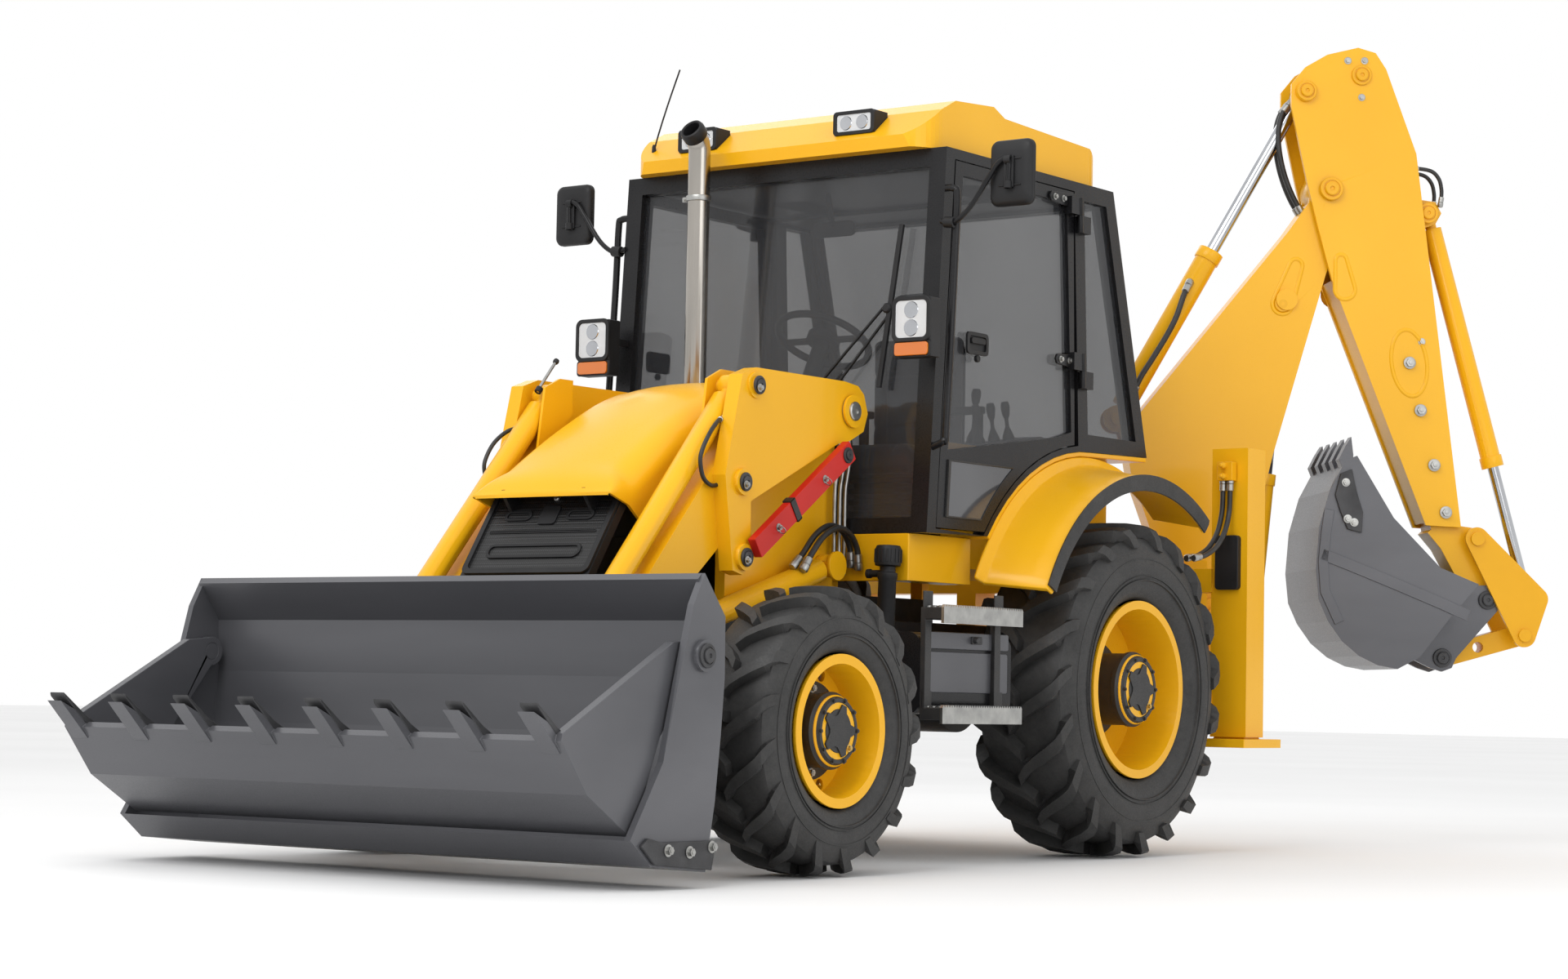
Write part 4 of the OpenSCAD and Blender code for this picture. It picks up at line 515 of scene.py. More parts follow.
def studio():
    bm = bmesh.new()
    square = ((-1, -1), (1, -1), (1, 1), (-1, 1))
    bm.faces.new([bm.verts.new((x * FLOOR_REACH, y * FLOOR_REACH, FLOOR_Z)) for x, y in square])
    mesh = bpy.data.meshes.new("floor")
    bm.to_mesh(mesh)
    bm.free()
    mesh.materials.append(finish_material("pale_floor", (0.83, 0.83, 0.83), (0.87, 0.87, 0.87),
        (0.55, 0.7), broad=0.3, grain=60.0, bump=0.01))
    floor = bpy.data.objects.new("floor", mesh)
    scene.collection.objects.link(floor)
    world = bpy.data.worlds.new("studio")
    scene.world = world
    world.use_nodes = True
    background = world.node_tree.nodes["Background"]
    background.inputs["Color"].default_value = (1.0, 1.0, 1.0, 1.0)
    background.inputs["Strength"].default_value = 1.0
    light_area("key", (7.0, 1.0, 8.0), (0.3, 0.2, 1.0), (6.0, 4.0), 380.0)
    light_area("fill", (3.5, 9.0, 4.0), (-0.5, 0.3, 1.2), (5.0, 4.0), 110.0)
    light_area("rim", (-6.0, -5.0, 6.5), (-0.8, 0.0, 1.8), (4.0, 4.0), 60.0)
    scene.view_settings.view_transform = "Standard"


aim_camera()
studio()


# Tyres and wheels

BEAD_GAP = 0.004
LUG_SWEEP, LUG_SHARE = 0.36, 0.29


def tyre_line(w):
    """Carcass line across the tread and down both sides: lateral place and radius."""
    r, half = w["r"] - w["depth"], w["w"] / 2
    bead = w["rim"] + BEAD_GAP
    rise = r - bead
    shape = [(0.76, 0.0), (0.84, 0.05), (0.93, 0.16), (0.99, 0.34), (1.0, 0.5), (0.97, 0.68),
        (0.91, 0.83), (0.84, 0.92), (0.74, 0.965), (0.55, 0.985), (0.3, 0.997), (0.0, 1.0)]
    side = [(half * a, bead + rise * b) for a, b in shape]
    return side + [(-y, z) for y, z in side[-2::-1]]


def lug_sections(w):
    """Stations of one lug from the tread's middle to the side wall: lateral place,
    radius, outward tilt, height and widening.
    """
    half, tip, depth = w["w"] / 2, w["r"], w["depth"]
    sink = depth * 0.35
    return [
        (-0.08 * half, tip, 0.0, depth + sink, 0.8),
        (0.1 * half, tip, 0.0, depth + sink, 0.86),
        (0.34 * half, tip - 0.001, 0.03, depth + sink, 0.94),
        (0.6 * half, tip - 0.003, 0.07, depth + sink, 1.0),
        (0.82 * half, tip - 0.01, 0.22, depth * 1.15 + sink, 1.08),
        (0.93 * half, tip - 0.024, 0.7, depth * 1.1 + sink, 1.1),
        (0.975 * half, tip - 0.055, 1.2, depth * 0.7 + sink, 1.06),
        (0.985 * half, tip - 0.1, 1.5, depth * 0.2 + sink, 0.95),
    ]


def build_tyre(name, w, side, body):
    centre = Vector((w["x"], side * w["y"], w["r"]))
    bm = bmesh.new()
    to_axle = Matrix.Translation(centre) @ Matrix.Rotation(-math.pi / 2, 4, "X")
    line = [(r, y) for y, r in tyre_line(w)]
    add_lathe(bm, line, to_axle, 120)
    bead = w["rim"] + BEAD_GAP
    for s in (-1, 1):
        for share, size in ((0.3, 0.004), (0.36, 0.003), (0.62, 0.004)):
            r = bead + (w["r"] - w["depth"] - bead) * share
            y = s * next(b for b, c in tyre_line(w) if c >= r)
            ring = [(r - size, y - s * 0.004), (r - size * 0.5, y + s * size),
                (r + size * 0.5, y + s * size), (r + size, y - s * 0.004)]
            add_lathe(bm, ring, to_axle, 120)
    pitch = TURN / w["lugs"]
    thick = pitch * LUG_SHARE
    sections = lug_sections(w)
    for hand in (-1, 1):
        for k in range(w["lugs"]):
            start = k * pitch + (pitch / 2 if hand > 0 else 0.0)
            rings = []
            for i, (y, r, tilt, h, grow) in enumerate(sections):
                u = i / (len(sections) - 1)
                lead = start - LUG_SWEEP * u ** 0.85
                flare = thick * grow
                ring = []
                for drop, wide in ((0.0, 0.42), (0.0, -0.42), (h, -0.56), (h, 0.56)):
                    ry = hand * (y - drop * math.sin(tilt))
                    rr = r - drop * math.cos(tilt)
                    a = lead + flare * wide
                    spot = Vector((rr * math.sin(a), ry, rr * math.cos(a)))
                    ring.append(bm.verts.new(centre + spot))
                rings.append(ring)
            stitch(bm, rings)
            bm.faces.new(rings[0])
            bm.faces.new(rings[-1][::-1])
    obj = place(bm, name, RUBBER, body, sharp=28.0)
    return obj


def build_hub(name, w, side, body):
    """Black hub drum with a raised star, rim bolts, fill plug and valve."""
    out = w["hub_out"]
    r = w["hub_r"]
    m = flank_frame(w["x"], w["y"], w["r"], side)
    bm = bmesh.new()
    add_lathe(bm, [(r + 0.047, w["disc"] + 0.011), (r + 0.047, w["disc"] + 0.017),
        (r + 0.004, w["disc"] + 0.019), (r + 0.004, out - 0.05), (r + 0.01, out - 0.046),
        (r + 0.01, out - 0.028), (r + 0.003, out - 0.022), (r - 0.012, out + 0.002),
        (r * 0.8, out + 0.003), (r * 0.78, out - 0.002), (r * 0.62, out - 0.002),
        (r * 0.6, out + 0.003), (0, out + 0.003)], m, 64)
    star = []
    for i in range(10):
        reach = r * (0.46 if i % 2 else 0.74)
        for da in (-0.13, 0.13):
            a = math.pi * i / 5 + da
            star.append((reach * math.cos(a), reach * math.sin(a)))
    add_prism(bm, star, 0.008, shift(m, 0, 0, out - 0.001))
    for i in range(10):
        p = on_disc(m, r * 0.87, TURN * i / 10, out + 0.001)
        add_bolt(bm, p, (0, side, 0), 0.0085)
    hub = place(bm, name, CHASSIS, body, sharp=30.0)
    bm = bmesh.new()
    add_bolt(bm, on_disc(m, r * 0.7, -0.75, out + 0.001), (0, side, 0), 0.011)
    seat = w["rim"] - 0.034
    stem = m @ Vector((0.0, -(seat - 0.03), w["disc"] + 0.012))
    add_lathe(bm, [(0.008, 0), (0.008, 0.02), (0.005, 0.022), (0.005, 0.05), (0, 0.052)],
        frame_at(stem, (0, side, 0.35)), 12)
    place(bm, name + "_brass", BRASS, body)
    bm = bmesh.new()
    for i in range(8):
        a = TURN * (i + 0.5) / 8
        p = on_disc(m, r + 0.022, a + math.pi / 8, w["disc"] + 0.018)
        add_bolt(bm, p, (0, side, 0), 0.014)
    place(bm, name + "_nuts", ZINC, body)


for corner, wheel, side in (("front_left", FRONT_WHEEL, 1), ("front_right", FRONT_WHEEL, -1),
        ("rear_left", REAR_WHEEL, 1), ("rear_right", REAR_WHEEL, -1)):
    tyre = build_tyre("lugged_tyre_" + corner, wheel, side, "wheel_" + corner)
    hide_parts("tyre_" + corner)
    build_hub("hub_" + corner, wheel, side, "wheel_" + corner)


# Grille: lateral, up the slope and outwards from its lower edge

GRILLE = Matrix((
    (0.0, -0.5426, 0.84, 1.505),
    (1.0, 0.0, 0.0, 0.0),
    (0.0, 0.84, 0.5426, 1.024),
    (0.0, 0.0, 0.0, 1.0),
))


def build_grille():
    bm = bmesh.new()
    for outer, inner, centre, depth in (
            ((0.592, 0.376, 0.03), (0.548, 0.332, 0.02), (0, 0.193), 0.012),
            ((0.125, 0.046, 0.023), (0.103, 0.026, 0.012), (-0.145, 0.262), 0.009),
            ((0.125, 0.046, 0.023), (0.103, 0.026, 0.012), (0.145, 0.262), 0.009),
            ((0.44, 0.062, 0.031), (0.416, 0.038, 0.019), (0, 0.105), 0.009)):
        add_ring(bm, rounded(*outer, centre=centre), rounded(*inner, centre=centre), depth, GRILLE)
    add_prism(bm, rounded(0.082, 0.082, 0.014, centre=(0, 0.262)), 0.01, GRILLE)
    add_ring(bm, rounded(0.5, 0.012, 0.005, centre=(0, 0.19)),
        rounded(0.494, 0.006, 0.002, centre=(0, 0.19)), 0.006, GRILLE)
    place(bm, "grille_trim", PLASTIC, bevel=0.002)
    bm = bmesh.new()
    add_prism(bm, rounded(0.552, 0.336, 0.02, centre=(0, 0.193)), 0.003, GRILLE)
    place(bm, "grille_sheet", PUNCHED)
    bm = bmesh.new()
    knob = shift(GRILLE, 0, 0.338, 0.002)
    add_lathe(bm, [(0.013, 0), (0.013, 0.006), (0.01, 0.01), (0.01, 0.014), (0.006, 0.016),
        (0, 0.016)], knob, 20)
    place(bm, "grille_lock", ZINC)


build_grille()

# Pins and bolts: places with the way they face

LEFT, RIGHT = (0, 1, 0), (0, -1, 0)
ACROSS = dig(0, 1, 0) - dig(0, 0, 0)


def both_sides(x, y, z):
    return [((x, y, z), LEFT), ((x, -y, z), RIGHT)]


def dig_sides(x, half, z):
    return [(dig(x, half, z), ACROSS), (dig(x, -half, z), -ACROSS)]


def side_rows(y, places):
    return [p for x, z in places for p in both_sides(x, y, z)]


def dig_rows(half, places):
    return [p for x, z in places for p in dig_sides(x, half, z)]


def pin_heads(name, mat, body, size, places):
    bm = bmesh.new()
    for p, normal in places:
        add_pin_head(bm, p, normal, size)
    place(bm, name, mat, body, sharp=30.0)


def bolts(name, mat, body, size, places):
    bm = bmesh.new()
    for p, normal in places:
        add_bolt(bm, p, normal, size)
    place(bm, name, mat, body, sharp=30.0)


ARM_PINS = [(0.885, 1.735), (0.955, 1.38), (0.94, 1.11)]
pin_heads("arm_pins", IRON, "arms", 0.034, side_rows(0.565, ARM_PINS))
bolts("arm_washers", ZINC, "arms", 0.012, [p for x, z in ARM_PINS
    for p in both_sides(x + 0.012, 0.578, z - 0.012)])
pin_heads("tower_pins", ZINC, "arms", 0.06, both_sides(0.285, 0.552, 1.69))
pin_heads("bucket_pins", IRON, "loader_bucket", 0.038,
    side_rows(0.534, ((1.785, 0.27), (1.752, 0.74))))
pin_heads("clam_pins", IRON, "loader_bucket", 0.04, both_sides(1.95, 1.176, 0.74))
pin_heads("boom_pins", YELLOW_DEEP, "dipper", 0.052, dig_sides(0.632, DIPPER_HALF + 0.013, 2.929))
pin_heads("dipper_head_pins", YELLOW_DEEP, "dipper", 0.046,
    dig_sides(0.516, DIPPER_HALF + 0.013, 3.369) + dig_sides(0.768, DIPPER_HALF, 3.45)
    + dig_sides(1.085, DIPPER_HALF - 0.04, 2.84))
pin_heads("link_pins", YELLOW_DEEP, "tipping_link", 0.04, dig_sides(1.299, DIPPER_HALF, 1.374))
pin_heads("dig_bucket_pins", IRON, "dig_bucket", 0.042,
    dig_rows(DIPPER_HALF, ((1.353, 1.103), (1.149, 0.842))))
bolts("dipper_bolts", ZINC, "dipper", 0.013, dig_rows(DIPPER_HALF,
    ((0.705, 3.514), (0.781, 3.516), (0.769, 3.349), (1.049, 2.253))))
bolts("slide_bolts", ZINC, "dipper", 0.022, dig_rows(DIPPER_HALF + 0.006,
    ((0.993, 2.156), (1.044, 1.944), (1.107, 1.7), (1.161, 1.49))))


# Pressed shapes on the digging arm

def raised_outline(name, body, points, half, width=0.01, height=0.005, mat=YELLOW):
    """Rounded bead along a closed line on both flanks of the digging arm."""
    n = len(points)
    bm = bmesh.new()
    for s in (-1, 1):
        loops = []
        for i in range(n):
            a, b = Vector(points[i - 1]), Vector(points[(i + 1) % n])
            t = (b - a).normalized()
            normal = Vector((-t.y, t.x))
            ring = []
            for share, rise in ((-1.0, -0.2), (-0.7, 0.6), (0.0, 1.0), (0.7, 0.6), (1.0, -0.2)):
                q = Vector(points[i]) + normal * width * share
                ring.append(bm.verts.new(dig(q.x, s * (half + height * rise), q.y)))
            loops.append(ring)
        stitch(bm, loops + loops[:1], closed=False)
    return place(bm, name, mat, body, sharp=50.0)


def oval(cx, cz, wide, high, lean, count=40):
    points = []
    c, n = math.cos(lean), math.sin(lean)
    for i in range(count):
        a = TURN * i / count
        x, z = wide * math.cos(a), high * math.sin(a)
        points.append((cx + x * c - z * n, cz + x * n + z * c))
    return points


def capsule(p, q, r0, r1, count=10):
    """Outline round two circles."""
    p, q = Vector(p), Vector(q)
    t = (q - p).normalized()
    base = math.atan2(t.y, t.x)
    points = []
    for centre, r, start in ((q, r1, base - math.pi / 2), (p, r0, base + math.pi / 2)):
        for i in range(count + 1):
            a = start + math.pi * i / count
            points.append((centre.x + r * math.cos(a), centre.y + r * math.sin(a)))
    return points


raised_outline("dipper_pad", "dipper", oval(0.993, 2.156, 0.08, 0.15, math.radians(8.0)),
    DIPPER_HALF)
raised_outline("dipper_stop", "dipper", capsule((0.7, 2.48), (0.681, 2.61), 0.046, 0.026),
    DIPPER_HALF)
raised_outline("boom_stop", "boom", capsule((0.424, 2.41), (0.484, 2.585), 0.046, 0.03), BOOM_HALF)
pin_heads("boom_stop_pin", YELLOW_DEEP, "boom", 0.036, dig_sides(0.424, BOOM_HALF, 2.41))


# Safety strut: strap, clips and end pins

STRUT_STRAP_Y, STRUT_FACE = 0.564, 0.598


def build_strut():
    a, b = Vector((0.369, 0.0, 1.517)), Vector((0.882, 0.0, 1.164))
    along = (b - a).normalized()
    bm = bmesh.new()
    clips = bmesh.new()
    for s in (-1, 1):
        up = Vector((0, s, 0))
        m = frame_at(a.lerp(b, 0.63) + Vector((0, s * STRUT_STRAP_Y, 0)), up, along)
        add_ring(bm, rounded(0.09, 0.03, 0.004), rounded(0.08, 0.0299, 0.004), 0.038, m)
        add_prism(bm, rounded(0.088, 0.03, 0.004), 0.004, shift(m, 0, 0, 0.034))
        for share in (0.28, 0.83):
            p = a.lerp(b, share) + Vector((0, s * STRUT_FACE, 0))
            add_bolt(clips, p, up, 0.012)
            ring = frame_at(p + up * 0.016 - Vector((0, 0, 0.01)), along, up)
            add_lathe(clips, [(0.013, -0.0015), (0.016, -0.0015), (0.016, 0.0015), (0.013, 0.0015),
                (0.013, -0.0015)], ring, 20)
    place(bm, "strut_strap", HOSE, "arms", bevel=0.001)
    place(clips, "strut_clips", ZINC, "arms")
    pin_heads("strut_pins", IRON, "arms", 0.03, both_sides(0.369, STRUT_FACE, 1.517))


build_strut()


# Teeth of the clam jaw

def build_clam_bolts():
    half, edge, count = 1.127, 0.06, 8
    rows = [-half + edge + i * (2 * half - 2 * edge) / (count - 1) for i in range(count)]
    bm = bmesh.new()
    normal = Vector((-0.42, 0.0, 0.91))
    for y in rows:
        for x, z in ((2.6, 0.497), (2.566, 0.478)):
            add_bolt(bm, (x, y, z), normal, 0.013)
    place(bm, "clam_tooth_bolts", ZINC, "clam_jaw", sharp=30.0)
    bm = bmesh.new()
    for y in rows:
        line = [(-0.115, 0.0), (0.0, 0.0), (0.105, 0.045), (0.11, 0.058), (0.0, 0.028),
            (-0.115, 0.018)]
        m = Matrix(((0.91, 0.0, 0.0, 2.59), (0.0, 0.0, 1.0, y - 0.038), (0.42, 1.0, 0.0, 0.4795),
            (0, 0, 0, 1)))
        add_prism(bm, line, 0.076, m)
    place(bm, "clam_tooth_caps", IRON, "clam_jaw", bevel=0.004)


build_clam_bolts()


# Steps, toolbox and filler

def build_steps():
    bright = bmesh.new()
    dark = bmesh.new()
    for s in (-1, 1):
        for z in (0.585, 0.95):
            teeth, count, span = [], 34, 0.54
            for i in range(count):
                x = -0.15 + span * i / count
                teeth += [(x, 0.018), (x + span / count * 0.5, 0.028)]
            line = [(-0.15, -0.04), *teeth, (0.39, 0.018), (0.39, -0.04)]
            m = flank_plane(s, 1.04, z - 0.018)
            add_prism(bright, line, 0.012, m)
            for k in range(3):
                y = 0.966 + 0.026 * k
                for i in range(9):
                    x = -0.12 + 0.06 * i
                    hole = frame_at((x, s * y, z), (0, 0, 1))
                    add_lathe(bright, [(0.011, 0.0), (0.011, 0.005), (0.008, 0.007),
                        (0.006, 0.003), (0, 0.003)], hole, 12)
            for x in (-0.15, 0.33):
                add_box(dark, (x, s * 0.958, z - 0.005), (x + 0.06, s * 0.964, z + 0.06))
    place(bright, "step_treads", ZINC, sharp=20.0)
    place(dark, "step_guards", CHASSIS, bevel=0.002)


build_steps()


def build_toolbox():
    lid, latch = bmesh.new(), bmesh.new()
    for s in (-1, 1):
        add_prism(lid, rounded(0.56, 0.062, 0.01), 0.01, flank_frame(0.08, 0.948, 0.832, s))
        add_prism(lid, rounded(0.56, 0.15, 0.012), 0.006, flank_frame(0.08, 0.948, 0.715, s))
        m = flank_frame(0.03, 0.956, 0.836, s)
        add_prism(latch, rounded(0.07, 0.028, 0.006), 0.01, m)
        add_lathe(latch, [(0.012, 0.008), (0.012, 0.022), (0.009, 0.026), (0, 0.026)],
            shift(m, -0.018, 0, 0), 18)
    place(lid, "toolbox_lids", GREY, bevel=0.004)
    place(latch, "toolbox_latches", IRON, bevel=0.002)


build_toolbox()


def build_filler():
    m = frame_at((0.165, 0.64, 0.86), (-0.04, 0.0, 1.0))
    bm = bmesh.new()
    add_lathe(bm, [(0, 0), (0.055, 0), (0.055, 0.01), (0.034, 0.016), (0.034, 0.2), (0.038, 0.206),
        (0.038, 0.226), (0.03, 0.23), (0.03, 0.25), (0.048, 0.254), (0.05, 0.262), (0.05, 0.318),
        (0.044, 0.33), (0, 0.334)], m, 40)
    for i in range(18):
        a = TURN * i / 18
        grip = m @ Matrix.Rotation(a, 4, "Z")
        add_box(bm, (0.047, -0.0035, 0.266), (0.053, 0.0035, 0.316), grip)
    add_lathe(bm, [(0.014, 0.03), (0.014, 0.075), (0.018, 0.077), (0.018, 0.092), (0, 0.094)],
        shift(m, 0, 0, 0.225) @ Matrix.Rotation(math.pi / 2, 4, "Y"), 16)
    place(bm, "tank_filler", PLASTIC, bevel=0.001)


build_filler()


# Lamps

def build_lamps():
    housing, glass, amber, bright = bmesh.new(), bmesh.new(), bmesh.new(), bmesh.new()
    for s in (-1, 1):
        m = face_frame(0.22, s * 0.775, 2.035)
        add_ring(housing, rounded(0.172, 0.172, 0.03), rounded(0.14, 0.14, 0.02), 0.01, m)
        add_prism(glass, rounded(0.142, 0.142, 0.02), 0.006, m)
        for dz in (-0.034, 0.034):
            add_lathe(bright, [(0.032, 0.006), (0.03, 0.009), (0.018, 0.0075), (0, 0.0105)],
                shift(m, 0, dz, 0), 28)
        low = face_frame(0.215, s * 0.775, 1.9225)
        add_prism(amber, rounded(0.15, 0.05, 0.012), 0.012, low)
        add_ring(housing, rounded(0.168, 0.064, 0.014), rounded(0.15, 0.05, 0.012), 0.006, low)
        roof = face_frame(0.06, s * 0.384, 2.84)
        add_ring(housing, rounded(0.194, 0.094, 0.016), rounded(0.16, 0.066, 0.01), 0.01, roof)
        add_prism(glass, rounded(0.162, 0.068, 0.01), 0.005, roof)
        for dy in (-0.038, 0.038):
            add_lathe(bright, [(0.028, 0.005), (0.026, 0.008), (0.016, 0.0065), (0, 0.009)],
                shift(roof, dy, 0, 0), 28)
    place(housing, "lamp_bezels", PLASTIC, bevel=0.003)
    place(glass, "lamp_lenses", LENS)
    place(bright, "lamp_bulbs", CHROME)
    place(amber, "signal_lenses", AMBER, bevel=0.003)


build_lamps()


# Cab fittings

CAB_LOW, CAB_HEIGHT, CAB_LEAN = 1.24, 1.48, 0.098


def cab_lean(z):
    """How far the cab's front leans back at a height."""
    return CAB_LEAN * (z - CAB_LOW) / CAB_HEIGHT


def screen(y, z):
    return Vector((0.118 - cab_lean(z), y, z))


def build_cab_fittings():
    tube("antenna", [(0.02, -0.64, 2.81), (0.02, -0.632, 2.86), (0.014, -0.585, 3.0),
        (0.01, -0.525, 3.15)], 0.0035, PLASTIC, "machine")
    bm = bmesh.new()
    add_lathe(bm, [(0.018, 0), (0.018, 0.008), (0.01, 0.014), (0.008, 0.04), (0.004, 0.05),
        (0, 0.05)], frame_at((0.022, -0.64, 2.8), (0.2, 0.1, 1.0)), 18)
    place(bm, "antenna_base", PLASTIC)
    for s, hand in SIDES:
        tube("grab_rail_" + hand, mirrored(s,
            [(0.005, 0.77, 2.56), (0.01, 0.815, 2.555), (0.008, 0.83, 2.52), (0.02, 0.83, 2.25),
            (0.06, 0.83, 1.65), (0.066, 0.825, 1.59), (0.07, 0.775, 1.565)]), 0.014, BLACK,
            "machine")
    bm = bmesh.new()
    for a, b in (((0.126, 1.7), (0.545, 2.12)), ((0.224, 1.69), (0.565, 2.085))):
        p, q = screen(*a), screen(*b)
        m = frame_at(p, q - p)
        add_box(bm, (-0.006, -0.004, 0), (0.006, 0.004, (q - p).length), m)
    p, q = screen(0.533, 1.8), screen(0.6, 2.429)
    add_box(bm, (-0.01, -0.007, 0), (0.01, 0.007, (q - p).length), frame_at(p, q - p))
    for a in ((0.126, 1.7), (0.224, 1.69), (0.555, 2.105)):
        add_lathe(bm, [(0.02, -0.01), (0.02, 0.01), (0.014, 0.016), (0, 0.016)],
            frame_at(screen(*a), (1, 0, 0.06)), 18)
    place(bm, "wiper", PLASTIC, bevel=0.0015)
    bm = bmesh.new()
    m = frame_at((-0.1, 0.175, 2.46), (-1, 0, 0.1), (0, 0, 1))
    add_prism(bm, rounded(0.2, 0.062, 0.028), 0.024, m)
    p, q = Vector((-0.1, 0.175, 2.47)), Vector((-0.06, 0.175, 2.6))
    add_box(bm, (-0.012, -0.006, 0), (0.012, 0.006, (q - p).length), frame_at(p, q - p))
    place(bm, "inside_mirror", PLASTIC, bevel=0.006)


build_cab_fittings()


# Pipes and hoses

def build_loader_hoses():
    for s, hand in SIDES:
        hose("tilt_hose_" + hand, mirrored(s,
            [(0.985, 0.478, 1.61), (1.04, 0.498, 1.592), (1.1, 0.51, 1.545), (1.142, 0.512, 1.485),
            (1.152, 0.511, 1.44), (1.128, 0.509, 1.383), (1.072, 0.507, 1.36),
            (1.016, 0.503, 1.383), (0.992, 0.499, 1.44), (0.993, 0.497, 1.48)]), 0.008,
            "tilt_barrels")
        for k, dx in enumerate((0.0, 0.034, 0.068)):
            x = 0.192 - dx
            tube("tower_pipe_%s_%d" % (hand, k),
                [(x + step, s * 0.415, z) for step,
                z in ((-0.02, 1.6), (-0.024, 1.52), (-0.01, 1.45), (0, 1.39), (0, 1.2),
                (0, 1.08))], 0.008, ZINC, "machine")
        for k, (dy, lift) in enumerate(((0.0, 0.0), (0.034, -0.01))):
            y = s * (0.452 + dy)
            hose("lift_hose_%s_%d" % (hand, k),
                [(x, y, z + lift) for x, z in ((0.5 - 0.02 * k, 1.1), (0.44, 1.15), (0.36, 1.225),
                (0.27, 1.262), (0.19, 1.245), (0.14, 1.19), (0.128, 1.12))], 0.012, "lift_barrels",
                other="machine")


build_loader_hoses()


def build_dig_hoses():
    for k, y in enumerate((-0.03, 0.03)):
        hose("dipper_hose_%d" % k, [dig(x, y, z) for x,
            z in ((0.466, 3.33), (0.432, 3.286), (0.414, 3.222), (0.412, 3.145), (0.426, 3.055),
            (0.452, 2.968), (0.487, 2.89), (0.53, 2.82))], 0.0125, "dipper", other="boom")
    hose("dipper_ram_hose", [dig(*p) for p in ((0.01, -0.052, 2.5), (-0.02, -0.075, 2.44),
        (-0.055, -0.085, 2.34), (-0.1, -0.088, 2.25), (-0.16, -0.088, 2.15),
        (-0.215, -0.086, 2.06), (-0.25, -0.075, 1.975))], 0.013, "dipper_ram_barrel")
    for k, y in enumerate((-0.062, 0.062)):
        hose("bucket_ram_hose_%d" % k, [dig(x, y, z) for x,
            z in ((1.008, 3.038), (1.044, 3.0436), (1.105, 3.033), (1.138, 3.0), (1.15, 2.955),
            (1.15, 2.915), (1.145, 2.88))], 0.009, "dipper")


build_dig_hoses()


def build_leg_valves():
    for s, hand in SIDES:
        bm = bmesh.new()
        add_box(bm, (-1.885, s * 0.95, 1.56), (-1.84, s * 1.02, 1.64))
        for dz in (0.0, 0.045):
            add_lathe(bm, [(0.013, 0), (0.013, 0.022), (0.008, 0.026), (0.008, 0.04), (0, 0.042)],
                frame_at((-1.842, s * 0.985, 1.578 + dz), (1, 0, 0)), 16)
        place(bm, "leg_valve_" + hand, YELLOW_DEEP, bevel=0.004)
        for k in range(2):
            y = s * (0.968 + 0.034 * k)
            hose("leg_hose_%s_%d" % (hand, k),
                [(x, y, z) for x, z in ((-1.862, 1.562), (-1.86, 1.5), (-1.852, 1.42),
                (-1.815, 1.34), (-1.745, 1.275), (-1.65, 1.235), (-1.56, 1.22))], 0.011, "machine")


build_leg_valves()

# Mirrors: ribbed housing, glass facing back and a bent arm

def build_mirrors():
    for s, hand in SIDES:
        bm = bmesh.new()
        m = face_frame(-0.006, s * 1.073, 2.595)
        shell = [(0.0, 1.0), (0.01, 1.0), (0.02, 0.96), (0.027, 0.86), (0.029, 0.62)]
        rings = []
        for rise, grow in shell:
            line = rounded(0.185 * grow, 0.25 * grow, 0.03 * grow)
            rings.append([bm.verts.new(m @ Vector((x, y, rise))) for x, y in line])
        stitch(bm, rings)
        bm.faces.new(rings[-1])
        bm.faces.new(rings[0][::-1])
        add_ring(bm, rounded(0.185, 0.25, 0.03), rounded(0.165, 0.23, 0.022), -0.01, m)
        for dy in (-0.05, 0.05):
            add_box(bm, (-0.05, dy - 0.004, 0.024), (0.05, dy + 0.004, 0.033), m)
        add_box(bm, (-0.022, -0.06, 0.02), (0.022, 0.06, 0.04), m)
        housing = place(bm, "mirror_shell_" + hand, PLASTIC, bevel=0.003)
        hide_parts("mirrors")
        bm = bmesh.new()
        add_prism(bm, rounded(0.165, 0.23, 0.022), -0.003, m)
        place(bm, "mirror_glass_" + hand, MIRROR)
        tube("mirror_arm_" + hand, mirrored(s,
            [(0.03, 0.772, 2.43), (0.034, 0.83, 2.42), (0.036, 0.905, 2.47), (0.036, 0.99, 2.58),
            (0.036, 1.03, 2.63), (0.034, 1.073, 2.64), (0.034, 1.075, 2.56)]), 0.01, BLACK,
            "machine")
        bm = bmesh.new()
        for z in (2.545, 2.64):
            add_lathe(bm, [(0.01, -0.014), (0.017, -0.014), (0.017, 0.014), (0.01, 0.014)],
                frame_at((0.034, s * 1.073, z), (0, 1, 0) if z > 2.6 else (0, 0, 1)), 20)
        add_lathe(bm, [(0.013, -0.022), (0.022, -0.022), (0.022, 0.022), (0.013, 0.022)],
            frame_at((0.032, s * 0.815, 2.422), (0, 1, -0.1)), 20)
        place(bm, "mirror_clamps_" + hand, PLASTIC, bevel=0.002)


build_mirrors()


# Door fittings: hinge straps, handle, lower pane and its seal

DOOR_FACE, DOOR_ARC = 0.781, 1.04
PANE_LOW, PANE_RISE, PANE_STEPS = 1.305, 0.22, 12


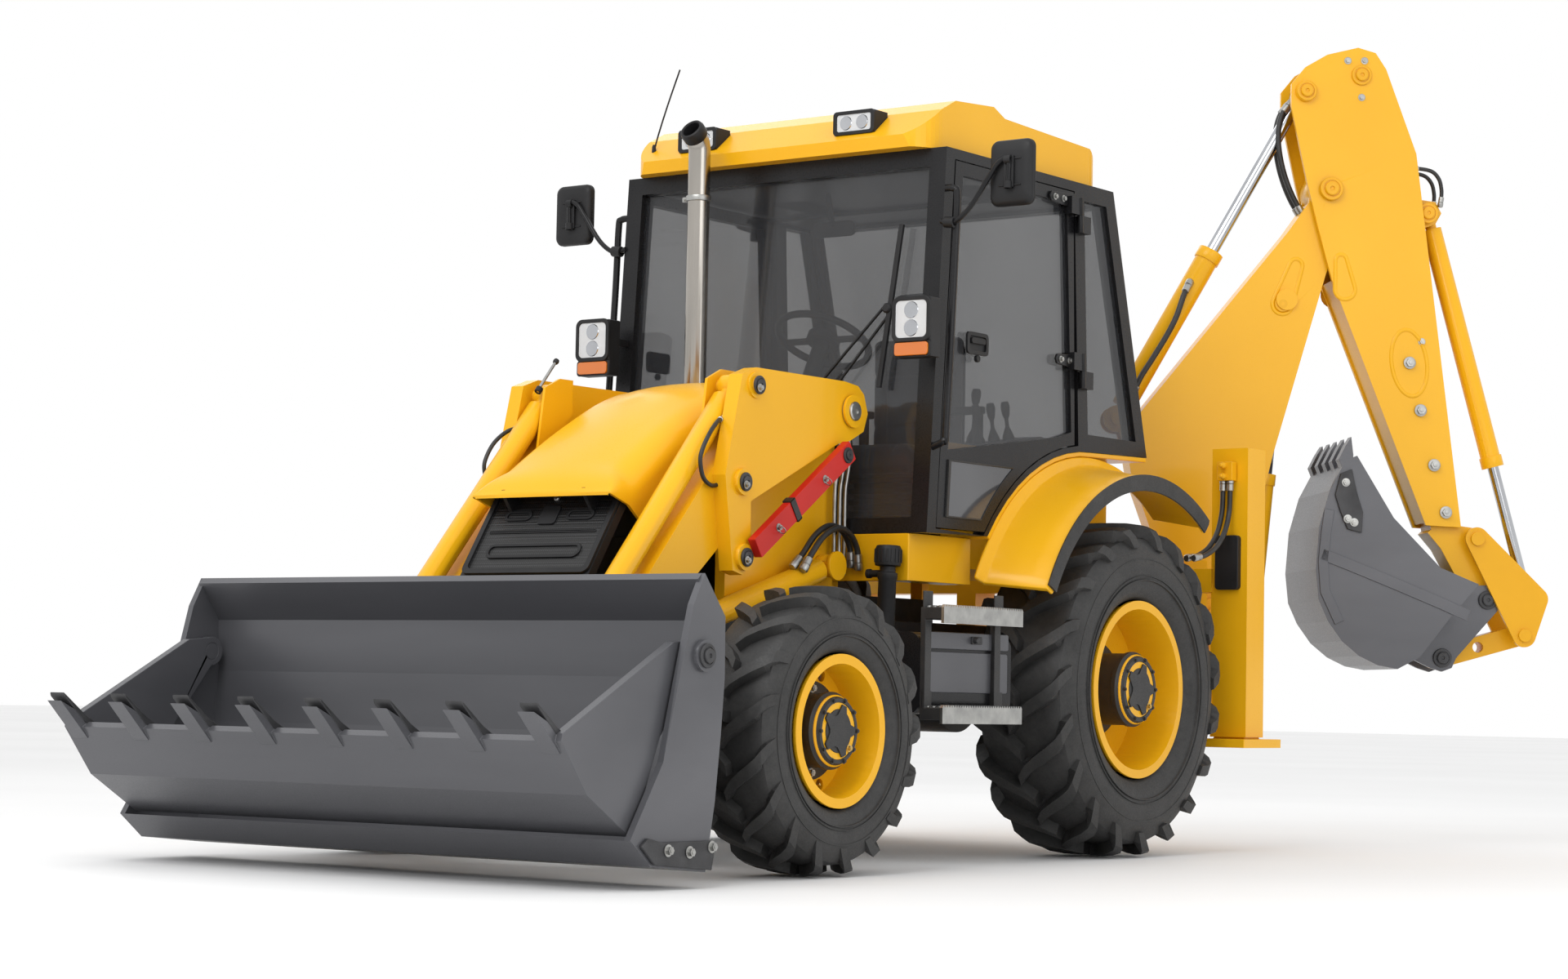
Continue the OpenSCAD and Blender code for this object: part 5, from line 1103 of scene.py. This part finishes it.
def build_door_fittings():
    for s, hand in SIDES:
        body = "door_" + hand
        straps, screws = bmesh.new(), bmesh.new()
        for x, z in ((-0.84, 2.635), (-0.9, 1.985)):
            m = flank_frame(x, DOOR_FACE, z, s)
            line = [(-0.085, -0.032), (0.1, -0.02), (0.112, 0.0), (0.1, 0.02), (-0.085, 0.032)]
            add_prism(straps, [(-s * a, b) for a, b in line], 0.01, m)
            for a in (-0.055, 0.01, 0.075):
                add_bolt(screws, m @ Vector((-s * a, 0.0, 0.01)), (0, s, 0), 0.011)
        place(straps, "door_straps_" + hand, BLACK, body, bevel=0.003)
        place(screws, "door_screws_" + hand, ZINC, body, sharp=30.0)
        bm = bmesh.new()
        m = flank_frame(-0.215, DOOR_FACE, 1.985, s)
        add_ring(bm, rounded(0.15, 0.086, 0.018), rounded(0.118, 0.056, 0.012), 0.01, m)
        add_prism(bm, rounded(0.12, 0.058, 0.012), 0.002, m)
        add_prism(bm, rounded(0.098, 0.022, 0.009), 0.012, shift(m, 0, 0.01, 0.002))
        add_lathe(bm, [(0.014, 0.0), (0.014, 0.012), (0.01, 0.015), (0.004, 0.013), (0, 0.013)],
            shift(m, 0.0, -0.058, 0.0), 20)
        place(bm, "door_handle_" + hand, PLASTIC, body, bevel=0.002)
        lower = [(0.106 - cab_lean(z) - 0.118, z) for z in (1.525, PANE_LOW)]
        for i in range(PANE_STEPS + 1):
            z = PANE_LOW + PANE_RISE * i / PANE_STEPS
            lower.append((REAR_AXLE[0] + math.sqrt(DOOR_ARC ** 2 - (z - REAR_AXLE[1]) ** 2), z))
        mid = Vector((sum(a for a, _ in lower) / len(lower),
            sum(b for _, b in lower) / len(lower)))
        face = flank_plane(s, 0.7795)
        inner = [tuple(mid + (Vector(q) - mid) * 0.95) for q in lower]
        bm = bmesh.new()
        add_prism(bm, [tuple(mid + (Vector(q) - mid) * 0.965) for q in lower], 0.004, face)
        place(bm, "door_lower_pane_" + hand, DARK_PANE, body, bevel=0.001)
        bm = bmesh.new()
        add_ring(bm, lower, inner, 0.008, face)
        place(bm, "door_lower_seal_" + hand, RUBBER, body, bevel=0.003)


build_door_fittings()


# Exhaust: dark tip, collar and clamp

STACK_PLACE = (0.205, -0.262)


def build_exhaust():
    bm = bmesh.new()
    x, y = STACK_PLACE
    for z, w in ((1.56, 0.03), (2.56, 0.024)):
        m = frame_at((x, y, z), (0, 0, 1))
        add_lathe(bm, [(0.044, 0), (0.05, 0.002), (0.052, w * 0.5), (0.05, w - 0.002), (0.044, w)],
            m, 40)
        add_box(bm, (0.046, -0.01, 0.002), (0.074, 0.01, w - 0.002), m)
        add_bolt(bm, m @ Vector((0.062, 0.01, w / 2)), m.to_3x3() @ Vector((0, 1, 0)), 0.007)
    place(bm, "exhaust_clamps", ZINC, sharp=30.0)
    bm = bmesh.new()
    m = frame_at((x, y, 1.3), (0, 0, 1))
    add_lathe(bm, [(0.044, 0.0), (0.078, 0.0), (0.082, 0.006), (0.082, 0.014), (0.058, 0.022),
        (0.05, 0.05), (0.047, 0.09), (0.044, 0.092)], m, 40)
    tip = frame_at((0.239, y, 2.8255), (0.819, 0, 0.574))
    add_lathe(bm, [(0.03, -0.02), (0.046, -0.02), (0.05, -0.012), (0.051, 0.018), (0.047, 0.03),
        (0.04, 0.033), (0.036, 0.028), (0.035, -0.02)], tip, 40)
    place(bm, "exhaust_collar", PLASTIC)


build_exhaust()


# Rubber edge of the rear fenders

EDGE_FROM, EDGE_SPAN, EDGE_STEPS = 27.0, 98.0, 44


def build_fender_edges():
    for s, hand in SIDES:
        bm = bmesh.new()
        rows = []
        for i in range(EDGE_STEPS + 1):
            a = math.radians(EDGE_FROM + EDGE_SPAN * i / EDGE_STEPS)
            row = []
            for r, y in ((0.856, 1.052), (0.86, 1.06), (0.838, 1.064), (0.796, 1.06),
                    (0.794, 1.054), (0.83, 1.05)):
                row.append(bm.verts.new((REAR_AXLE[0] + r * math.cos(a), s * y, REAR_AXLE[1]
                    + r * math.sin(a))))
            rows.append(row)
        stitch(bm, rows)
        bm.faces.new(rows[0])
        bm.faces.new(rows[-1][::-1])
        place(bm, "fender_edge_" + hand, RUBBER, sharp=40.0)


build_fender_edges()


# Level gauge on the right loader arm

def build_gauge():
    tube("level_gauge_rod", [(0.96, -0.42, 1.745), (0.946, -0.425, 1.763), (0.9, -0.428, 1.815),
        (0.85, -0.43, 1.871)], 0.006, ZINC, "arms")
    bm = bmesh.new()
    add_lathe(bm, [(0.006, -0.01), (0.014, -0.01), (0.014, 0.01), (0.006, 0.01)],
        frame_at((0.955, -0.422, 1.752), (-0.6, 0.0, 0.75)), 18)
    add_lathe(bm, [(0.0, -0.012), (0.01, -0.008), (0.012, 0.0), (0.01, 0.008), (0.0, 0.012)],
        frame_at((0.85, -0.43, 1.871), (-0.6, 0.0, 0.75)), 18)
    place(bm, "level_gauge_ends", PLASTIC, "arms")


build_gauge()


# Digging bucket: wear strips and bolted side cutters

def flank_plate(bm, outline, half, thick):
    for s in (-1, 1):
        low = [bm.verts.new(dig(x, s * half, z)) for x, z in outline]
        top = [bm.verts.new(dig(x, s * (half + thick), z)) for x, z in outline]
        bm.faces.new(low)
        bm.faces.new(top)
        stitch(bm, [low, top])


def strip_outline(points, width):
    path = [Vector(p) for p in points]
    left, right = [], []
    for i, p in enumerate(path):
        t = (path[min(i + 1, len(path) - 1)] - path[max(i - 1, 0)]).normalized()
        normal = Vector((-t.y, t.x)) * width / 2
        left.append(tuple(p + normal))
        right.append(tuple(p - normal))
    return left + right[::-1]


def build_dig_bucket():
    bm = bmesh.new()
    flank_plate(bm, strip_outline([(0.56, 1.284), (0.69, 1.236), (0.9, 1.155), (1.1, 1.075),
        (1.215, 1.026)], 0.05), DIG_HALF, 0.006)
    flank_plate(bm, strip_outline([(0.592, 1.48), (0.578, 1.38), (0.566, 1.25), (0.576, 1.12),
        (0.64, 0.985)], 0.044), DIG_HALF, 0.006)
    place(bm, "dig_wear_strips", GREY, "dig_bucket", bevel=0.002)
    bm = bmesh.new()
    flank_plate(bm, [(0.64, 1.47), (0.616, 1.545), (0.64, 1.64), (0.69, 1.66), (0.712, 1.56),
        (0.74, 1.47), (0.735, 1.38), (0.672, 1.395)], DIG_HALF, 0.014)
    place(bm, "dig_side_cutters", IRON, "dig_bucket", bevel=0.003)
    bm = bmesh.new()
    for x, z in ((0.671, 1.44), (0.7, 1.425), (0.662, 1.6)):
        for p, normal in dig_sides(x, DIG_HALF + 0.014, z):
            add_bolt(bm, p, normal, 0.015)
    place(bm, "dig_cutter_bolts", ZINC, "dig_bucket", sharp=30.0)


build_dig_bucket()


# Loader bucket: bolted corner wear shoes

def build_loader_bucket():
    bm = bmesh.new()
    for s in (-1, 1):
        for x, z in ((1.905, 0.09), (2.02, 0.076), (2.13, 0.084)):
            add_bolt(bm, (x, s * 1.176, z + 0.04), (0, s, 0), 0.016)
    place(bm, "bucket_shoe_bolts", ZINC, "loader_bucket", sharp=30.0)
    bm = bmesh.new()
    for s in (-1, 1):
        m = flank_plane(s, 1.163)
        add_prism(bm, [(1.9, 0.055), (2.19, 0.08), (2.26, 0.14), (2.225, 0.165), (2.16, 0.15),
            (1.9, 0.15), (1.885, 0.12)], 0.012, m)
    place(bm, "bucket_shoes", IRON, "loader_bucket", bevel=0.003)


build_loader_bucket()


# Bonnet: crowned sheet with rounded shoulders and a lip over the grille

BONNET_TOP = [(1.4195, 1.322), (1.3545, 1.402), (1.192, 1.5175), (0.992, 1.64), (0.767, 1.7525),
    (0.567, 1.795), (0.3, 1.811), (0.117, 1.82)]
BONNET_HALF, BONNET_SHEET = 0.325, 0.012
# Corner cut for the exhaust stack
NOTCH_X, NOTCH_Y, NOTCH_Z = 0.27, -0.205, 1.4


def bonnet_low(x):
    if x > 1.317:
        return 1.28 + (x - 1.317) / 0.1025 * 0.034
    if x > 1.242:
        return 1.22 + (x - 1.242) / 0.075 * 0.06
    return 1.2425 - (x - 0.117) / 1.125 * 0.0225


def bonnet_ring(x, top, inset):
    """Section from the left lower edge over the crown to the right lower edge."""
    half, low = BONNET_HALF - inset, bonnet_low(x)
    top -= inset
    rise = max(top - low, 0.004)
    r = min(0.12, rise * 0.75)
    crown = min(0.02, rise * 0.1)
    line = [(half, low), (half, low + (rise - crown - r) * 0.5)]
    for i in range(9):
        a = math.pi / 2 * i / 8
        line.append((half - r + r * math.cos(a), top - crown - r + r * math.sin(a)))
    for y in (0.75, 0.45, 0.2):
        line.append(((half - r) * y, top - crown * y * y))
    line = line + [(0.0, top)] + [(-y, z) for y, z in line[::-1]]
    if x < NOTCH_X:
        line = [(max(y, NOTCH_Y + inset) if z > NOTCH_Z else y, z) for y, z in line]
    return line


def build_bonnet():
    path = smooth_path([(x, 0.0, z) for x, z in BONNET_TOP], 7)
    stations = []
    for p in path:
        if stations and stations[-1][0] > NOTCH_X > p.x:
            stations += [(0.2702, p.z), (0.2698, p.z)]
        stations.append((p.x, p.z))
    bm = bmesh.new()
    shells = []
    for inset in (0.0, BONNET_SHEET):
        shells.append([[bm.verts.new((x, y, z)) for y, z in bonnet_ring(x, top, inset)] for x,
            top in stations])
    outer, inner = shells
    for rows in shells:
        stitch(bm, rows, closed=False)
    for k in (0, -1):
        stitch(bm, [outer[k], inner[k]], closed=False)
    for k in (0, -1):
        stitch(bm, [[row[k] for row in rows] for rows in shells], closed=False)
    sheet = place(bm, "bonnet_sheet", YELLOW, "bonnet", sharp=38.0)
    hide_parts("bonnet")


build_bonnet()


# Driver's seat: bellows, pan, sewn cushions and armrests

SEAM_DEPTH, SEAM_WIDTH = 0.011, 0.009
PAD_VOXEL, PAD_STEPS, PAD_PRESSURE = 0.0085, 20, 4.0


def seam_depth(v, lines):
    """Depth of the sewn channels at a point; a line is an axis and a place on it."""
    depth = 0.0
    for axis, at in lines:
        depth = max(depth, SEAM_DEPTH * math.exp(-((v[axis] - at) / SEAM_WIDTH) ** 2))
    return depth


def soft_pad(name, size, centre, face, seams, cap):
    """Stuffed cushion: blown up a little by a cloth simulation, then sewn."""
    bm = bmesh.new()
    bmesh.ops.create_cube(bm, size=1.0)
    for v in bm.verts:
        v.co = Vector((v.co.x * (size[0] - cap), v.co.y * (size[1] - cap),
            v.co.z * (size[2] - cap)))
    bmesh.ops.bevel(bm, geom=bm.edges[:], offset=min(size) * 0.24, segments=3, profile=0.5,
        affect="EDGES")
    mesh = bpy.data.meshes.new(name)
    bm.to_mesh(mesh)
    bm.free()
    obj = bpy.data.objects.new(name, mesh)
    scene.collection.objects.link(obj)
    remesh = obj.modifiers.new("Remesh", "REMESH")
    remesh.mode = "VOXEL"
    remesh.voxel_size = PAD_VOXEL
    graph = bpy.context.evaluated_depsgraph_get()
    dense = bpy.data.meshes.new_from_object(obj.evaluated_get(graph))
    obj.modifiers.clear()
    obj.data = dense
    start = [v.co.copy() for v in dense.vertices]
    ends = start
    cloth = obj.modifiers.new("Cloth", "CLOTH")
    cloth.settings.quality = 4
    cloth.settings.mass = 0.4
    cloth.settings.use_pressure = True
    cloth.settings.uniform_pressure_force = PAD_PRESSURE
    cloth.settings.effector_weights.gravity = 0.0
    cloth.point_cache.frame_start = 1
    cloth.point_cache.frame_end = PAD_STEPS
    for step in range(1, PAD_STEPS + 1):
        scene.frame_set(step)
    graph = bpy.context.evaluated_depsgraph_get()
    blown = obj.evaluated_get(graph).to_mesh()
    ends = [v.co.copy() for v in blown.vertices]
    obj.evaluated_get(graph).to_mesh_clear()
    obj.modifiers.clear()
    scene.frame_set(1)
    axis, way = face
    for v, a, b in zip(dense.vertices, start, ends):
        move = b - a
        if move.length > cap * 0.5:
            move *= cap * 0.5 / move.length
        p = a + move
        if p[axis] * way > 0.1 * size[axis]:
            p[axis] -= way * seam_depth(p, seams)
        v.co = p + Vector(centre)
    dense.materials.clear()
    dense.materials.append(CLOTH)
    dense.shade_smooth()
    soft = obj.modifiers.new("Subdivision", "SUBSURF")
    soft.levels = 1
    soft.render_levels = 1
    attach(obj, "machine")
    return obj


def build_seat():
    cushion = soft_pad("seat_cushion", (0.44, 0.47, 0.13), (-0.785, 0.0, 1.588), (2, 1),
        [(1, -0.135), (1, 0.135), (0, -0.04)], 0.024)
    back = soft_pad("seat_back", (0.112, 0.46, 0.59), (-0.982, 0.0, 1.85), (0, 1),
        [(1, -0.13), (1, 0.13), (2, -0.1), (2, 0.12)], 0.024)
    head = soft_pad("seat_headrest", (0.1, 0.25, 0.165), (-0.982, 0.0, 2.24), (0, 1),
        [(1, -0.07), (1, 0.07)], 0.02)
    for pad in (cushion, back, head):
        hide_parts("seat")
    bm = bmesh.new()
    for i in range(6):
        z = 1.235 + 0.046 * i
        for w, dz in ((0.285, 0.0), (0.25, 0.023)):
            add_ring(bm, rounded(w, w, 0.04), rounded(w - 0.05, w - 0.05, 0.03), 0.024,
                Matrix.Translation((-0.8, 0.0, z + dz - 0.012)))
    place(bm, "seat_bellows", RUBBER, bevel=0.006)
    bm = bmesh.new()
    add_prism(bm, rounded(0.295, 0.295, 0.02), 0.035, Matrix.Translation((-0.8, 0.0, 1.191)))
    add_prism(bm, rounded(0.42, 0.44, 0.04), 0.022, Matrix.Translation((-0.79, 0.0, 1.506)))
    add_prism(bm, rounded(0.4, 0.56, 0.06), 0.012, face_frame(-1.038, 0.0, 1.84))
    for y in (-0.07, 0.07):
        add_lathe(bm, [(0.007, 0), (0.007, 0.07)], frame_at((-0.985, y, 2.125), (0, 0, 1)), 14)
    for s in (-1, 1):
        arm = frame_at((-0.83, s * 0.275, 1.78), (0, 0, 1))
        add_prism(bm, rounded(0.3, 0.055, 0.024), 0.03, arm)
        add_prism(bm, rounded(0.04, 0.03, 0.01), -0.18, shift(arm, -0.115, -s * 0.012, 0.004))
    place(bm, "seat_frame", PLASTIC, bevel=0.005)


build_seat()


# Cab interior: side consoles with levers, instruments, pedals and roof lining

def add_lever(bm, foot, top, r):
    p, q = Vector(foot), Vector(top)
    m = frame_at(p, q - p)
    h = (q - p).length
    add_lathe(bm, [(r * 3.2, 0), (r * 3.0, 0.02), (r * 1.6, 0.05), (r, 0.06), (r, h - 0.07),
        (r * 1.9, h - 0.055), (r * 2.4, h - 0.02), (r * 1.8, h), (0, h + 0.003)], m, 18)


def build_interior():
    bm = bmesh.new()
    levers = bmesh.new()
    dials = bmesh.new()
    for s in (-1, 1):
        side = flank_plane(s, 0.42)
        add_prism(bm, [(-1.18, 1.192), (-0.64, 1.192), (-0.6, 1.56), (-0.66, 1.64), (-1.06, 1.7),
            (-1.18, 1.69)], 0.135, side)
        for k in range(3):
            x = -0.7 - 0.11 * k
            add_lever(levers, (x, s * 0.49, 1.64 + 0.016 * k),
                (x + 0.02, s * 0.48, 1.8 + 0.016 * k), 0.008)
    for y in (-0.12, 0.0, 0.12):
        add_lever(levers, (-1.22, y, 1.7), (-1.245, y, 1.93), 0.009)
    add_box(bm, (-1.29, -0.2, 1.192), (-1.17, 0.2, 1.7))
    dash = frame_at((-0.15, 0.0, 1.712), (-0.5, 0.0, 0.85), (0, 1, 0))
    add_prism(bm, rounded(0.13, 0.27, 0.03), 0.018, dash)
    for y in (-0.08, 0.0, 0.08):
        add_lathe(dials, [(0.032, 0.016), (0.032, 0.024), (0.028, 0.026), (0.026, 0.02),
            (0, 0.02)], shift(dash, 0.0, y, 0.0), 28)
    for y in (-0.23, 0.225, 0.3):
        pedal = frame_at((-0.15, y, 1.27), (-0.8, 0.0, 0.6), (0, 1, 0))
        add_prism(bm, rounded(0.11, 0.06, 0.012), 0.01, pedal)
        for k in range(4):
            add_box(bm, (-0.042 + 0.026 * k, -0.024, 0.01), (-0.034 + 0.026 * k, 0.024, 0.014),
                pedal)
        add_lever(levers, (-0.11, y, 1.205), (-0.142, y, 1.262), 0.006)
    for s in (-1, 1):
        add_prism(bm, rounded(0.42, 0.2, 0.04), -0.02, Matrix.Translation((-0.8, s * 0.42, 2.7)))
    place(bm, "cab_consoles", TRIM, bevel=0.008)
    place(levers, "cab_levers", PLASTIC, sharp=30.0)
    place(dials, "cab_dials", ZINC, sharp=30.0)


build_interior()


# Rear lamps on the fenders' backs

def build_rear_lamps():
    shell, red, amber = bmesh.new(), bmesh.new(), bmesh.new()
    for s in (-1, 1):
        m = face_frame(-1.905, s * 0.985, 1.215, -1)
        arm = face_frame(-1.862, s * 0.985, 1.215, -1)
        add_prism(shell, rounded(0.11, 0.23, 0.016), 0.048, arm)
        add_prism(red, rounded(0.092, 0.115, 0.012), 0.014, shift(m, 0, -0.05, 0.0))
        add_prism(amber, rounded(0.092, 0.085, 0.012), 0.014, shift(m, 0, 0.056, 0.0))
    place(shell, "rear_lamp_shells", PLASTIC, bevel=0.004)
    place(red, "rear_lamp_red", RED_LENS, bevel=0.003)
    place(amber, "rear_lamp_amber", AMBER, bevel=0.003)


build_rear_lamps()
